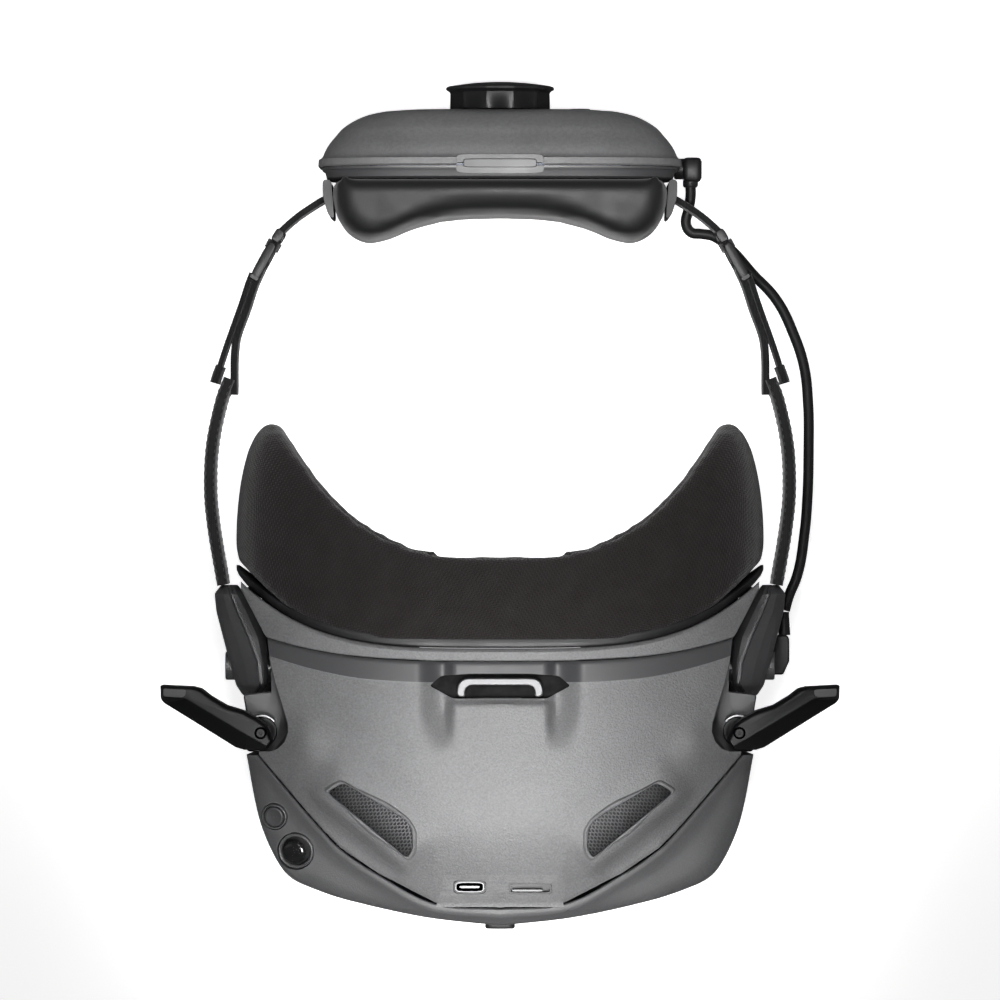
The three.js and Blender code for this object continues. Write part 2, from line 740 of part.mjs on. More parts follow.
function batteryBand() {
  const outer = packStations.slice(0, 2).map(([y, w, h]) => packRing(w, h, y));
  outer.push(packRing(packHalf - 0.3, packHalfHeight - 0.2, packRimY - gap));
  const inner = [[packRimY + 2, 52.6], [99, 52.6]].map(([y, w]) => packRing(w, 27, y));
  return cut(loft(outer), loft(inner));
}

// The pad's edge against the head: two lobes with a hollow between them.
const padStations = [
  [0, 89.8], [14.6, 89.2], [26.4, 86.7], [36, 82.7], [41.5, 81.5], [46.2, 83.2], [50, 88.6], [51.3, 95],
];

function batteryPad() {
  const lobes = [...padStations.slice(1).reverse().map(([x, y]) => [-x, y]), ...padStations];
  const ring = (inset, z) => {
    const near = lobes.map(([x, y]) => vec(x - (inset * x) / 55, y + inset, packZ + z));
    return [...near, ...near.map((p) => vec(p.x, 99.9, p.z)).reverse()];
  };
  const rings = [ring(4, -28), ring(0.8, -24.5), ring(0, -18), ring(0, 18), ring(0.8, 24.5), ring(4, 28)];
  return loft(rings, { ends: 'strip' });
}

function strapOutlet(side) {
  const plate = (lowX, highX, ...rest) => {
    const ends = [side * lowX, side * highX].sort((a, b) => a - b);
    return block(...ends, ...rest);
  };
  return cut(
    plate(51.9, 55.4, 88.6, 99.9, packZ - 17, packZ + 17),
    plate(50, 60, 91.6, 94.6, packZ - 9, packZ + 9),
  );
}

function cellPack() {
  const ring = (halfWidth, halfDepth, z) => roundedBox(halfWidth, halfDepth, 5, 20)
    .map(([x, y]) => vec(x, 107.8 + y, packZ + z));
  return loft([ring(39, 5.2, -20), ring(41, 6.2, -18), ring(41, 6.2, 18), ring(39, 5.2, 20)]);
}

function tensionKnob() {
  const start = packRearY + gap;
  const profile = [
    [0, start], [15.6, start], [16, start + 0.6], [16, 128.2], [knobRadius, 128.8],
    [knobRadius, 129.5], [15.6, 130.5], [9, 131.3], [0, knobEndY],
  ];
  const grip = Array.from({ length: 16 }, (_, i) => {
    const angle = (2 * Math.PI * i) / 16;
    const place = vec(Math.cos(angle) * 17, 0, packZ + Math.sin(angle) * 17);
    return rod(1.5, start - 1, 128, vec(0, 1, 0), place, 6);
  });
  return cut(turned(profile, vec(0, 1, 0), vec(0, 0, packZ), 32), ...grip);
}

// The knob's shaft, with the ratchet wheel that winds the straps.
function ratchetShaft() {
  const profile = [[0, 114.6], [9, 114.6], [9, 117.4], [3.5, 117.4], [3.5, packRearY], [0, packRearY]];
  return turned(profile, vec(0, 1, 0), vec(0, 0, packZ), 24);
}

function powerButtonCap() {
  const { centre, radius } = powerButton;
  const profile = [
    [0, packRearY - 3.4], [radius + 1.2, packRearY - 3.4], [radius + 1.2, packRearY - wall - 0.5],
    [radius, packRearY - wall - 0.5], [radius, packRearY + 0.3], [radius - 0.5, packRearY + 0.7],
    [0, packRearY + 0.8],
  ];
  return turned(profile, vec(0, 1, 0), centre, 28);
}

// ---- Power cable -----------------------------------------------------------

const cableRadius = 1.65;
const clipZ = 34;
const cableRoute = [
  [60, 100.2, 18], [60, 96, 18], [59.3, 91.7, 17.6], [58.6, 87.6, 17.2], [60.2, 84.9, 17],
  [63.4, 84.4, 17], [67.4, 83.6, 17], [72.9, 79.3, 17.2], [79.4, 72, 17.8], [87.1, 63.5, 18.8],
  [92.3, 53, 20.2], [95.6, 42.7, 21.8], [96.8, 31.6, 23.6], [96.9, 16, 26.2], [96.4, 0.6, 28.8],
  [95.4, -10.3, 30.6], [93.2, -22.7, 32.8], [90.3, -30, 33.8], [89.2, -34, clipZ],
];

function powerCable() {
  const path = new THREE.CatmullRomCurve3(cableRoute.map((p) => vec(...p)), false, 'centripetal');
  const section = new THREE.Shape(Array.from({ length: 8 }, (_, i) => {
    const angle = (2 * Math.PI * i) / 8;
    return new THREE.Vector2(cableRadius * Math.cos(angle), cableRadius * Math.sin(angle));
  }));
  return new THREE.ExtrudeGeometry(section, { steps: 34, extrudePath: path, curveSegments: 8 });
}

function powerPlug() {
  const ring = (halfWidth, halfHeight, y) => roundedBox(halfWidth, halfHeight, 5, 20)
    .map(([x, z]) => vec(60.4 + x, y, 18 + z));
  return loft([ring(2.2, 3.4, 100.5), ring(2.8, 5, 102), ring(2.8, 5, 107.6), ring(2.2, 4.4, 108.4)]);
}

// The housing under the arm that holds the cable's end, with its strain relief.
function cableClip() {
  const outline = [[84, -41.6], [90.6, -41.6], [90.6, -50], [88.7, -54.3], [83, -54.3]];
  const profile = [[0, -41.8], [1.9, -41.8], [1.5, -34.4], [0, -34.4]];
  const relief = turned(profile, vec(0, 1, 0), vec(89, 0, clipZ), 12);
  return join(prism(outline, clipZ - 3.4, clipZ + 3.4), relief);
}

// ---- Assembly --------------------------------------------------------------

piece('top_shell', topShell(), finishes.texturedShell);
piece('front_cover', frontCover(), finishes.darkShell);
piece('mid_shell', midShell(), finishes.darkShell);
piece('bottom_shell', bottomShell(), finishes.darkShell);
piece('nose_bridge', noseBridge(), finishes.blackPlastic);
piece('face_frame', faceFrame(), finishes.blackPlastic);
piece('frame_trim', frameTrim(), finishes.satinTrim);
piece('face_pad', facePad(), finishes.foam);
piece('lens_panel', lensPanel(), finishes.blackPlastic);
piece('optics_hood', opticsHood(), finishes.blackPlastic);
piece('display', block(-54, 54, -109.4, -105.4, 23, 79), finishes.display);
piece('main_board', block(-44, 44, -102, -68, 81.6, 83.2), finishes.board);
piece('heat_spreader', heatSpreader(), finishes.aluminium);
piece('fan_housing', fanHousing(), finishes.blackPlastic);
piece('fan_rotor', fanRotor(), finishes.blackPlastic);
piece('strap_hook', strapHook(), finishes.aluminium);
piece('port_plate', portPlate(), finishes.texturedShell);
piece('usb_socket', socket(-9.3, 4.47, 1.7, 0.32, 6), finishes.aluminium);
piece('card_socket', socket(9.3, 6.4, 1.3, 0.35, 4), finishes.blackPlastic);
piece('front_window', block(-4.8, 4.8, -131.5, -128.6, 74.6, 79.4), finishes.glossBlack);
piece('back_button_ring', bezel(backButton, backButton.radius + 0.3, 4), finishes.blackPlastic);
piece('back_button', backButtonCap(), finishes.blackPlastic);
piece('joystick_bezel', bezel(joystick, joystick.well, 3), finishes.blackPlastic);
piece('joystick_switch', rod(1.5, -6, -2.2, facetAxis, joystick.centre, 16), finishes.blackPlastic);
piece('joystick_gimbal', rod(1.3, -1.8, -0.2, facetAxis, joystick.centre, 16), finishes.blackPlastic);
piece('joystick_cap', joystickCap(), finishes.rubber);
for (const [side, name] of sides) {
  piece(`lens_${name}`, lens(side), finishes.glass);
  piece(`vent_grille_${name}`, ventGrille(side), finishes.steelMesh);
  piece(`antenna_${name}`, antenna(side), finishes.blackPlastic);
  piece(`antenna_hinge_${name}`, antennaHinge(side), finishes.aluminium);
  piece(`arm_pivot_${name}`, armPivot(side), finishes.aluminium);
  piece(`arm_${name}`, arm(side), finishes.darkShell);
  piece(`band_${name}`, ribbon(onSide(side, bandRoute), 3.8, 20, 14), finishes.fabric);
  piece(`webbing_${name}`, ribbon(onSide(side, webbingRoute), 4, 16, 7), finishes.webbing);
  piece(`buckle_${name}`, buckle(side, [77, 69], [70.6, 81], 3.2, 21), finishes.blackPlastic);
  piece(`slider_${name}`, buckle(side, [70.2, 81.6], [68.6, 84.4], 3, 20), finishes.blackPlastic);
  piece(`strap_${name}`, ribbon(onSide(side, strapRoute), 1.6, 15, 5), finishes.webbing);
  piece(`strap_outlet_${name}`, strapOutlet(side), finishes.glossBlack);
}
piece('battery_shell', batteryShell(), finishes.texturedShell);
piece('battery_band', batteryBand(), finishes.satinTrim);
piece('battery_pad', batteryPad(), finishes.foam);
piece('cell_pack', cellPack(), finishes.cell);
piece('power_button', powerButtonCap(), finishes.darkShell);
piece('ratchet_shaft', ratchetShaft(), finishes.blackPlastic);
piece('tension_knob', tensionKnob(), finishes.glossBlack);
piece('power_plug', powerPlug(), finishes.rubber);
piece('power_cable', powerCable(), finishes.rubber);
piece('cable_clip', cableClip(), finishes.blackPlastic);

export default goggles;
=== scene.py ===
"""FPV goggles: the visible model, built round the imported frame. Sizes in mm, objects in metres."""
import math

import bmesh
import bpy
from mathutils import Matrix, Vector


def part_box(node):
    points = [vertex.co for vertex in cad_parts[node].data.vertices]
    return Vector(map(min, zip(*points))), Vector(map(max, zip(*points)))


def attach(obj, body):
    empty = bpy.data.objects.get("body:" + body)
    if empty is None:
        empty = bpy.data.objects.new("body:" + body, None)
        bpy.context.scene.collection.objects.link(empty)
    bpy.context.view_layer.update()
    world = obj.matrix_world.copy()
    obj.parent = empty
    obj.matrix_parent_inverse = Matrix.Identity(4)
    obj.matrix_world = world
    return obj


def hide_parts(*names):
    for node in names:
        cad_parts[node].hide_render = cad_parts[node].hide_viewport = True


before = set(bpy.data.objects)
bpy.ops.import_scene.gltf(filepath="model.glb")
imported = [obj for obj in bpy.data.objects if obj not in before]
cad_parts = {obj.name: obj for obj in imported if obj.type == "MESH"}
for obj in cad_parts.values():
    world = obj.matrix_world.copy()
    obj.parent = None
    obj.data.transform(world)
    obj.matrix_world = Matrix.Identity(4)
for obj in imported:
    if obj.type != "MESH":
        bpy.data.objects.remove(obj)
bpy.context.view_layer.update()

MM = 0.001
SIDES = ((1, "left"), (-1, "right"))     # sign of x, from the wearer's point of view


def cad_box(node):
    """Lowest and highest corner of a CAD node, in mm."""
    low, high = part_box(node)
    return low / MM, high / MM


# ---- Shared places, from the frame ------------------------------------------

shell_low, shell_high = cad_box("top_shell")
cover_low, _ = cad_box("front_cover")
pack_low, pack_high = cad_box("battery_shell")
band_low, _ = cad_box("battery_band")
knob_low, knob_high = cad_box("tension_knob")

SHELL_HALF = shell_high.x                # half width of the top shell
SEAM_FRONT = shell_low.y                 # front end of the top shell
TOP_Z = shell_high.z - 2                 # crown of the top shell, without its spine
TRIM_Y = SEAM_FRONT + 75.7               # rear end of the top shell on the centre line
FRAME_Y = TRIM_Y + 4.2                   # face frame on the centre line
SPLIT_Z = cover_low.z                    # joint line above the bottom shell
PACK_Z = (pack_low.z + pack_high.z) / 2  # centre of the battery pack
PACK_HALF = pack_high.x                  # its half width
PACK_HALF_HEIGHT = (pack_high.z - pack_low.z) / 2
PACK_TOP = PACK_Z + PACK_HALF_HEIGHT
RIM_Y = pack_low.y                       # rim between the battery shell and its band
PACK_REAR = pack_high.y                  # its rear face
EYE_Z = 51                               # centre of the face opening
POCKET_Z = 69.7                          # floor of the antenna pockets


# ---- Small helpers ----------------------------------------------------------

def mix(a, b, t):
    return a + (b - a) * t


def smooth(value, low, high):
    t = min(1, max(0, (value - low) / (high - low)))
    return t * t * (3 - 2 * t)


def through(stations, at):
    """Smooth values through stations of (input, value, value ...), rising in input."""
    last = len(stations) - 1
    i = 0
    while i < last - 1 and at > stations[i + 1][0]:
        i += 1
    x0, x1 = stations[i][0], stations[i + 1][0]
    t = min(1, max(0, (at - x0) / (x1 - x0)))

    def slope(k, column):
        a, b = stations[max(0, k - 1)], stations[min(last, k + 1)]
        return (b[column] - a[column]) / (b[0] - a[0]) * (x1 - x0)

    values = []
    for column in range(1, len(stations[i])):
        p0, p1 = stations[i][column], stations[i + 1][column]
        m0, m1 = slope(i, column), slope(i + 1, column)
        values.append(
            p0 * (2 * t**3 - 3 * t**2 + 1) + m0 * (t**3 - 2 * t**2 + t)
            + p1 * (3 * t**2 - 2 * t**3) + m1 * (t**3 - t**2)
        )
    return values


def rounded_box(half_width, half_height, power, count):
    """Points of a superellipse outline."""
    points = []
    for i in range(count):
        angle = 2 * math.pi * (i + 0.5) / count
        c, s = math.cos(angle), math.sin(angle)
        points.append((
            half_width * math.copysign(abs(c) ** (2 / power), c),
            half_height * math.copysign(abs(s) ** (2 / power), s),
        ))
    return points


def steps(low, high, count):
    return [mix(low, high, i / count) for i in range(count + 1)]


def mesh_object(name, points, faces):
    """A mesh from points in mm, with its doubled points joined and its faces turned outwards."""
    mesh = bpy.data.meshes.new(name)
    mesh.from_pydata([Vector(p) * MM for p in points], [], faces)
    work = bmesh.new()
    work.from_mesh(mesh)
    bmesh.ops.remove_doubles(work, verts=work.verts, dist=1e-7)
    bmesh.ops.recalc_face_normals(work, faces=work.faces)
    work.to_mesh(mesh)
    work.free()
    obj = bpy.data.objects.new(name, mesh)
    bpy.context.scene.collection.objects.link(obj)
    return obj


def loft(name, rings, closed=False):
    """A solid through closed rings of points; closed joins the last ring to the first."""
    size = len(rings[0])
    points = [p for ring in rings for p in ring]
    faces = []
    spans = len(rings) if closed else len(rings) - 1
    for i in range(spans):
        here, there = i * size, (i + 1) % len(rings) * size
        for j in range(size):
            k = (j + 1) % size
            faces.append((here + j, here + k, there + k, there + j))
    if not closed:
        faces.append(tuple(range(size))[::-1])
        faces.append(tuple((len(rings) - 1) * size + j for j in range(size)))
    return mesh_object(name, points, faces)


def strip_loft(name, rings):
    """A thin-walled solid: each ring goes out along one face and back along the other."""
    size = len(rings[0])
    points = [p for ring in rings for p in ring]
    faces = []
    for i in range(len(rings) - 1):
        here, there = i * size, (i + 1) * size
        for j in range(size):
            k = (j + 1) % size
            faces.append((here + j, here + k, there + k, there + j))
    for start in (0, (len(rings) - 1) * size):
        for j in range(size // 2 - 1):
            far = size - 1 - j
            faces.append((start + j, start + j + 1, start + far - 1, start + far))
    return mesh_object(name, points, faces)


def prism(name, outline, low_z, high_z):
    """An upright prism over a plan outline."""
    return loft(name, [[(x, y, z) for x, y in outline] for z in (low_z, high_z)])


def turned(name, profile, axis, centre, segments=64):
    """A turned piece; the profile is (radius, distance along the axis), from axis to axis."""
    turn = Vector((0, 0, 1)).rotation_difference(Vector(axis).normalized())
    points, faces = [], []
    for radius, along in profile:
        for k in range(segments if radius else 1):
            angle = 2 * math.pi * k / segments
            local = Vector((radius * math.cos(angle), radius * math.sin(angle), along))
            points.append(turn @ local + Vector(centre))
    starts, at = [], 0
    for radius, _ in profile:
        starts.append((at, segments if radius else 1))
        at += segments if radius else 1
    for (a, many_a), (b, many_b) in zip(starts, starts[1:]):
        for k in range(segments):
            n = (k + 1) % segments
            if many_a == 1 and many_b > 1:
                faces.append((a, b + k, b + n))
            elif many_b == 1 and many_a > 1:
                faces.append((a + k, a + n, b))
            elif many_a > 1 and many_b > 1:
                faces.append((a + k, a + n, b + n, b + k))
    return mesh_object(name, points, faces)


def settle(obj):
    """Applies an object's modifiers."""
    graph = bpy.context.evaluated_depsgraph_get()
    mesh = bpy.data.meshes.new_from_object(obj.evaluated_get(graph))
    obj.modifiers.clear()
    obj.data = mesh
    return obj


def carve(obj, *cutters):
    """Cuts other solids out of an object and removes them."""
    for cutter in cutters:
        boolean = obj.modifiers.new("cut", "BOOLEAN")
        boolean.operation = "DIFFERENCE"
        boolean.solver = "EXACT"
        boolean.object = cutter
    settle(obj)
    for cutter in cutters:
        bpy.data.objects.remove(cutter)
    return obj


def merge(name, objects):
    """One object out of several separate solids."""
    joined = bmesh.new()
    for obj in objects:
        settle(obj)
        joined.from_mesh(obj.data)
    mesh = bpy.data.meshes.new(name)
    joined.to_mesh(mesh)
    joined.free()
    for obj in objects:
        bpy.data.objects.remove(obj)
    merged = bpy.data.objects.new(name, mesh)
    bpy.context.scene.collection.objects.link(merged)
    return merged


def soften(obj, width, segments=2, angle=32):
    """Rounds the edges that turn by more than angle degrees."""
    bevel = obj.modifiers.new("edges", "BEVEL")
    bevel.width = width * MM
    bevel.segments = segments
    bevel.limit_method = "ANGLE"
    bevel.angle_limit = math.radians(angle)
    bevel.harden_normals = True
    return obj


def subdivide(obj, levels):
    modifier = obj.modifiers.new("subdivision", "SUBSURF")
    modifier.levels = levels
    modifier.render_levels = levels
    return obj


def finish(obj, material, sharp=None):
    """Gives an object its material and smooth shading, with edges above sharp degrees kept sharp."""
    obj.data.materials.clear()
    obj.data.materials.append(material)
    if obj.type == "MESH":
        for polygon in obj.data.polygons:
            polygon.use_smooth = True
        if sharp:
            obj.data.set_sharp_from_angle(angle=math.radians(sharp))


def place(obj, body, material, replaces=(), sharp=None):
    """Gives a piece its material and body, and hides the CAD nodes it stands for."""
    finish(obj, material, sharp)
    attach(obj, body)
    if replaces:
        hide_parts(*replaces)
    return obj


# ---- Camera and light -------------------------------------------------------

FLOOR_HALF = 3000
FLOOR_Z = -0.2


def make_camera():
    """Straight above, with the front of the visor towards the bottom of the picture."""
    camera = bpy.data.cameras.new("camera")
    camera.type = "PERSP"
    sensor = 36
    view_width = 310
    distance = 2600
    aim = Vector((0, 0.56, 60))
    camera.sensor_width = sensor
    camera.lens = sensor * distance / view_width
    camera.clip_end = 20
    obj = bpy.data.objects.new("camera", camera)
    bpy.context.scene.collection.objects.link(obj)
    obj.location = (aim + Vector((0, 0, distance))) * MM
    bpy.context.scene.camera = obj


def area_light(name, place_mm, aim_mm, size_mm, power, spread=180):
    """A rectangular light: where it stands, what it faces, its sides, its watts and its spread in degrees."""
    light = bpy.data.lights.new(name, "AREA")
    light.shape = "RECTANGLE"
    light.size = size_mm[0] * MM
    light.size_y = size_mm[1] * MM
    light.energy = power
    light.spread = math.radians(spread)
    obj = bpy.data.objects.new(name, light)
    bpy.context.scene.collection.objects.link(obj)
    obj.location = Vector(place_mm) * MM
    toward = Vector(aim_mm) - Vector(place_mm)
    obj.rotation_euler = toward.to_track_quat("-Z", "Y").to_euler()
    obj.visible_camera = False


def make_studio():
    world = bpy.data.worlds.new("studio")
    bpy.context.scene.world = world
    world.use_nodes = True
    background = world.node_tree.nodes["Background"]
    background.inputs["Color"].default_value = (1, 1, 1, 1)
    background.inputs["Strength"].default_value = 0.07
    area_light("key", (0, -170, 420), (0, -100, 85), (80, 110), 0.13, 34)
    area_light("back", (0, 60, 500), (0, 115, 50), (200, 90), 0.42, 60)
    area_light("left edge", (-900, 0, 500), (0, 0, 60), (200, 900), 0.45)
    area_light("right edge", (900, 0, 500), (0, 0, 60), (200, 900), 0.45)
    corners = [(x * FLOOR_HALF, y * FLOOR_HALF, FLOOR_Z) for x, y in ((-1, -1), (1, -1), (1, 1), (-1, 1))]
    floor = mesh_object("floor", corners, [(0, 1, 2, 3)])
    floor.data.materials.append(floor_material())
    floor.visible_glossy = False
    bpy.context.scene.view_settings.view_transform = "Standard"


# ---- Materials --------------------------------------------------------------

def add(tree, kind, inputs=None, **settings):
    """A shader node with its settings and its inputs, which are values or other nodes' outputs."""
    node = tree.nodes.new(kind)
    for key, value in settings.items():
        setattr(node, key, value)
    for key, value in (inputs or {}).items():
        if isinstance(value, bpy.types.NodeSocket):
            tree.links.new(value, node.inputs[key])
        else:
            node.inputs[key].default_value = value
    return node


def new_material(name, color, roughness, **sockets):
    """A Principled material; further sockets are given by name, with _ for a space."""
    material = bpy.data.materials.new(name)
    material.use_nodes = True
    tree = material.node_tree
    shader = tree.nodes["Principled BSDF"]
    shader.inputs["Base Color"].default_value = (*color, 1)
    shader.inputs["Roughness"].default_value = roughness
    for key, value in sockets.items():
        shader.inputs[key.replace("_", " ")].default_value = value
    return material, tree, shader


def coordinates(tree, squeeze=(1, 1, 1)):
    """Object coordinates in mm, stretched along an axis where squeeze is below 1."""
    place_node = add(tree, "ShaderNodeTexCoord")
    scaled = add(tree, "ShaderNodeVectorMath", {0: place_node.outputs["Object"]}, operation="MULTIPLY")
    scaled.inputs[1].default_value = [s / MM for s in squeeze]
    return scaled.outputs["Vector"]


def noise(tree, size, detail=2, squeeze=(1, 1, 1)):
    """Noise between 0 and 1 whose features are about size mm across."""
    inputs = {"Vector": coordinates(tree, squeeze), "Scale": 1 / size, "Detail": detail, "Roughness": 0.6}
    return add(tree, "ShaderNodeTexNoise", inputs).outputs[0]


def math_node(tree, operation, *values):
    return add(tree, "ShaderNodeMath", dict(enumerate(values)), operation=operation).outputs[0]


def weighted(tree, a, share_a, b, share_b):
    """The sum of two values, each times its share."""
    parts = [math_node(tree, "MULTIPLY", value, share) for value, share in ((a, share_a), (b, share_b))]
    return math_node(tree, "ADD", *parts)


def remap(tree, value, low, high, to_low, to_high):
    inputs = {"Value": value, "From Min": low, "From Max": high, "To Min": to_low, "To Max": to_high}
    return add(tree, "ShaderNodeMapRange", inputs).outputs["Result"]


def tint(tree, color, factor, low, high):
    """The colour made darker or lighter as the factor goes from 0 to 1."""
    ends = [[min(1, c * k) for c in color] + [1] for k in (low, high)]
    blend = add(tree, "ShaderNodeMix", data_type="RGBA")
    tree.links.new(factor, blend.inputs["Factor"])
    for socket, end in zip([s for s in blend.inputs if s.type == "RGBA"], ends):
        socket.default_value = end
    return next(s for s in blend.outputs if s.type == "RGBA")


def lighten(tree, color_socket, factor, level):
    """The colour moved towards a grey of this level."""
    blend = add(tree, "ShaderNodeMix", data_type="RGBA")
    colors = [s for s in blend.inputs if s.type == "RGBA"]
    tree.links.new(factor, blend.inputs["Factor"])
    tree.links.new(color_socket, colors[0])
    colors[1].default_value = (level, level, level, 1)
    return next(s for s in blend.outputs if s.type == "RGBA")


def bump(tree, shader, height, depth):
    inputs = {"Height": height, "Distance": depth * MM, "Strength": 1.0}
    tree.links.new(add(tree, "ShaderNodeBump", inputs).outputs["Normal"], shader.inputs["Normal"])


def painted_edge_highlight(tree, strength):
    """1 on outward edges, broken up by noise: the mask of a painted highlight that lightens the edges."""
    geometry = add(tree, "ShaderNodeNewGeometry")
    edge = remap(tree, geometry.outputs["Pointiness"], 0.52, 0.6, 0, strength)
    return math_node(tree, "MULTIPLY", edge, remap(tree, noise(tree, 3.5), 0.35, 0.65, 0.35, 1))


def plastic(name, color, roughness, grain=0.4, depth=0.03, speckle=0.1, edge_highlight=0.25, **sockets):
    """Moulded plastic: a fine grain in height and colour, and a painted highlight that lightens its edges."""
    material, tree, shader = new_material(name, color, roughness, **sockets)
    fine = noise(tree, grain, 3)
    broad = noise(tree, 14, 2)
    shade = weighted(tree, fine, 0.75, broad, 0.25)
    body = tint(tree, color, remap(tree, shade, 0.36, 0.64, 0, 1), 1 - speckle, 1 + speckle)
    # Painted highlight: outward edges are lightened towards a brighter grey.
    highlight_level = min(1, color[0] * 1.8 + 0.05)
    highlighted = lighten(tree, body, painted_edge_highlight(tree, edge_highlight), highlight_level)
    uneven = remap(tree, broad, 0.3, 0.7, roughness - 0.05, roughness + 0.05)
    tree.links.new(highlighted, shader.inputs["Base Color"])
    tree.links.new(uneven, shader.inputs["Roughness"])
    bump(tree, shader, fine, depth)
    return material


def weave_height(tree, pitch_across, pitch_along, slant=0.0):
    """Woven threads over and under each other, laid on each face along its two nearest axes."""
    place_node = add(tree, "ShaderNodeTexCoord")
    where = add(tree, "ShaderNodeSeparateXYZ", {0: coordinates(tree)})
    facing = add(tree, "ShaderNodeSeparateXYZ", {0: place_node.outputs["Normal"]})
    total = None
    weight_sum = None
    for normal_axis, (first, second) in (("X", ("Y", "Z")), ("Y", ("X", "Z")), ("Z", ("X", "Y"))):
        a = where.outputs[first]
        b = where.outputs[second]
        if slant:
            mirrored = math_node(tree, "ABSOLUTE", a) if first == "X" else a
            a = math_node(tree, "ADD", mirrored, math_node(tree, "MULTIPLY", b, slant))
            b = math_node(tree, "SUBTRACT", b, math_node(tree, "MULTIPLY", mirrored, slant))
        row = math_node(tree, "SINE", math_node(tree, "MULTIPLY", a, 2 * math.pi / pitch_across))
        column = math_node(tree, "SINE", math_node(tree, "MULTIPLY", b, 2 * math.pi / pitch_along))
        crossing = math_node(tree, "MULTIPLY", row, column)
        ribs = weighted(tree, crossing, 0.65, row, 0.35)
        weight = math_node(tree, "POWER", math_node(tree, "ABSOLUTE", facing.outputs[normal_axis]), 6)
        part = math_node(tree, "MULTIPLY", ribs, weight)
        total = part if total is None else math_node(tree, "ADD", total, part)
        weight_sum = weight if weight_sum is None else math_node(tree, "ADD", weight_sum, weight)
    height = math_node(tree, "DIVIDE", total, math_node(tree, "MAXIMUM", weight_sum, 0.001))
    return remap(tree, height, -1, 1, 0, 1)


def cloth(name, color, pitch, depth, slant=0.0, fuzz=0.3, along=None):
    """Woven or knitted cloth: its colour darker between the threads as painted shade and lighter on them as
    painted light, with loose fibres that add random tone and a sheen that catches the light.
    """
    material, tree, shader = new_material(
        name, color, 0.9, Sheen_Weight=fuzz, Sheen_Roughness=0.45, Specular_IOR_Level=0.25)
    height = weave_height(tree, pitch, along or pitch, slant)
    fibres = noise(tree, 0.25, 3)
    mixed = weighted(tree, height, 0.8, fibres, 0.4)
    # Painted shade between the threads and painted light on their tops: the colour follows thread height,
    # with fibre noise as random tone.
    shaded_threads = tint(tree, color, remap(tree, mixed, 0.3, 0.95, 0, 1), 0.45, 1.7)
    tree.links.new(shaded_threads, shader.inputs["Base Color"])
    tree.links.new(remap(tree, noise(tree, 8), 0.3, 0.7, 0.82, 0.97), shader.inputs["Roughness"])
    bump(tree, shader, mixed, depth)
    return material


def metal(name, color, roughness, brushed=(1, 1, 0.05)):
    """Brushed metal, its lines stretched along Z unless brushed says otherwise."""
    material, tree, shader = new_material(name, color, roughness, Metallic=1.0)
    lines = noise(tree, 0.25, 3, brushed)
    tree.links.new(tint(tree, color, lines, 0.88, 1.08), shader.inputs["Base Color"])
    uneven = remap(tree, lines, 0.3, 0.7, roughness - 0.06, roughness + 0.08)
    tree.links.new(uneven, shader.inputs["Roughness"])
    bump(tree, shader, lines, 0.006)
    return material


def glass(name, color):
    """Coated clear plastic or glass, with faint smears."""
    material, tree, shader = new_material(
        name, color, 0.02, Transmission_Weight=1.0, IOR=1.49, Coat_Weight=0.6, Coat_Roughness=0.03)
    smears = noise(tree, 6, 2)
    tree.links.new(remap(tree, smears, 0.4, 0.8, 0.015, 0.06), shader.inputs["Roughness"])
    return material


def floor_material():
    pale = (0.93, 0.93, 0.93)
    material, tree, shader = new_material(
        "floor", pale, 0.9, Emission_Color=(1, 1, 1, 1), Emission_Strength=0.8)
    tree.links.new(tint(tree, pale, noise(tree, 60), 0.995, 1.005), shader.inputs["Base Color"])
    return material


textured_grey = plastic("textured_grey", (0.1, 0.1, 0.102), 0.5, grain=0.6, depth=0.22, speckle=0.22)
leather_grey = plastic("leather_grey", (0.085, 0.085, 0.087), 0.5, grain=1.1, depth=0.09, speckle=0.12)
shell_grey = plastic("shell_grey", (0.028, 0.028, 0.03), 0.5, grain=0.35, depth=0.015, speckle=0.07)
# Darker than textured_grey: painted shade for the steep front cover.
front_shaded_grey = plastic("front_shaded_grey", (0.06, 0.06, 0.062), 0.48, grain=0.5, depth=0.07, speckle=0.12)
smooth_grey = plastic("smooth_grey", (0.035, 0.035, 0.037), 0.4, grain=0.3, depth=0.01, speckle=0.05)
dark_grey = plastic("dark_grey", (0.035, 0.035, 0.037), 0.44, grain=0.3, depth=0.012, speckle=0.06)
satin_grey = plastic("satin_grey", (0.07, 0.07, 0.072), 0.33, grain=0.3, depth=0.01, speckle=0.05)
black = plastic("black", (0.006, 0.006, 0.0065), 0.42, grain=0.3, depth=0.01, speckle=0.12,
                Specular_IOR_Level=0.25)
# Near-black matte for the hook recess's floor: painted shade.
painted_shade_black = plastic("painted_shade_black", (0.002, 0.002, 0.002), 0.8, grain=0.3, depth=0.01,
                       Specular_IOR_Level=0.08)
antenna_black = plastic("antenna_black", (0.005, 0.005, 0.0055), 0.4, grain=0.25, depth=0.008, speckle=0.08,
                        Specular_IOR_Level=0.25)
gloss_black = plastic("gloss_black", (0.006, 0.006, 0.0065), 0.12, grain=2, depth=0.003, edge_highlight=0.1,
                      Coat_Weight=0.5)
knit = cloth("knit", (0.0095, 0.0075, 0.0075), 1.2, 0.3, slant=0.62, fuzz=0.16)
soft_skin = plastic("soft_skin", (0.005, 0.005, 0.0055), 0.48, grain=0.45, depth=0.03, speckle=0.1, edge_highlight=0.1,
                    Sheen_Weight=0.15, Specular_IOR_Level=0.25)
band_cloth = cloth("band_cloth", (0.012, 0.012, 0.0125), 0.6, 0.06, fuzz=0.2)
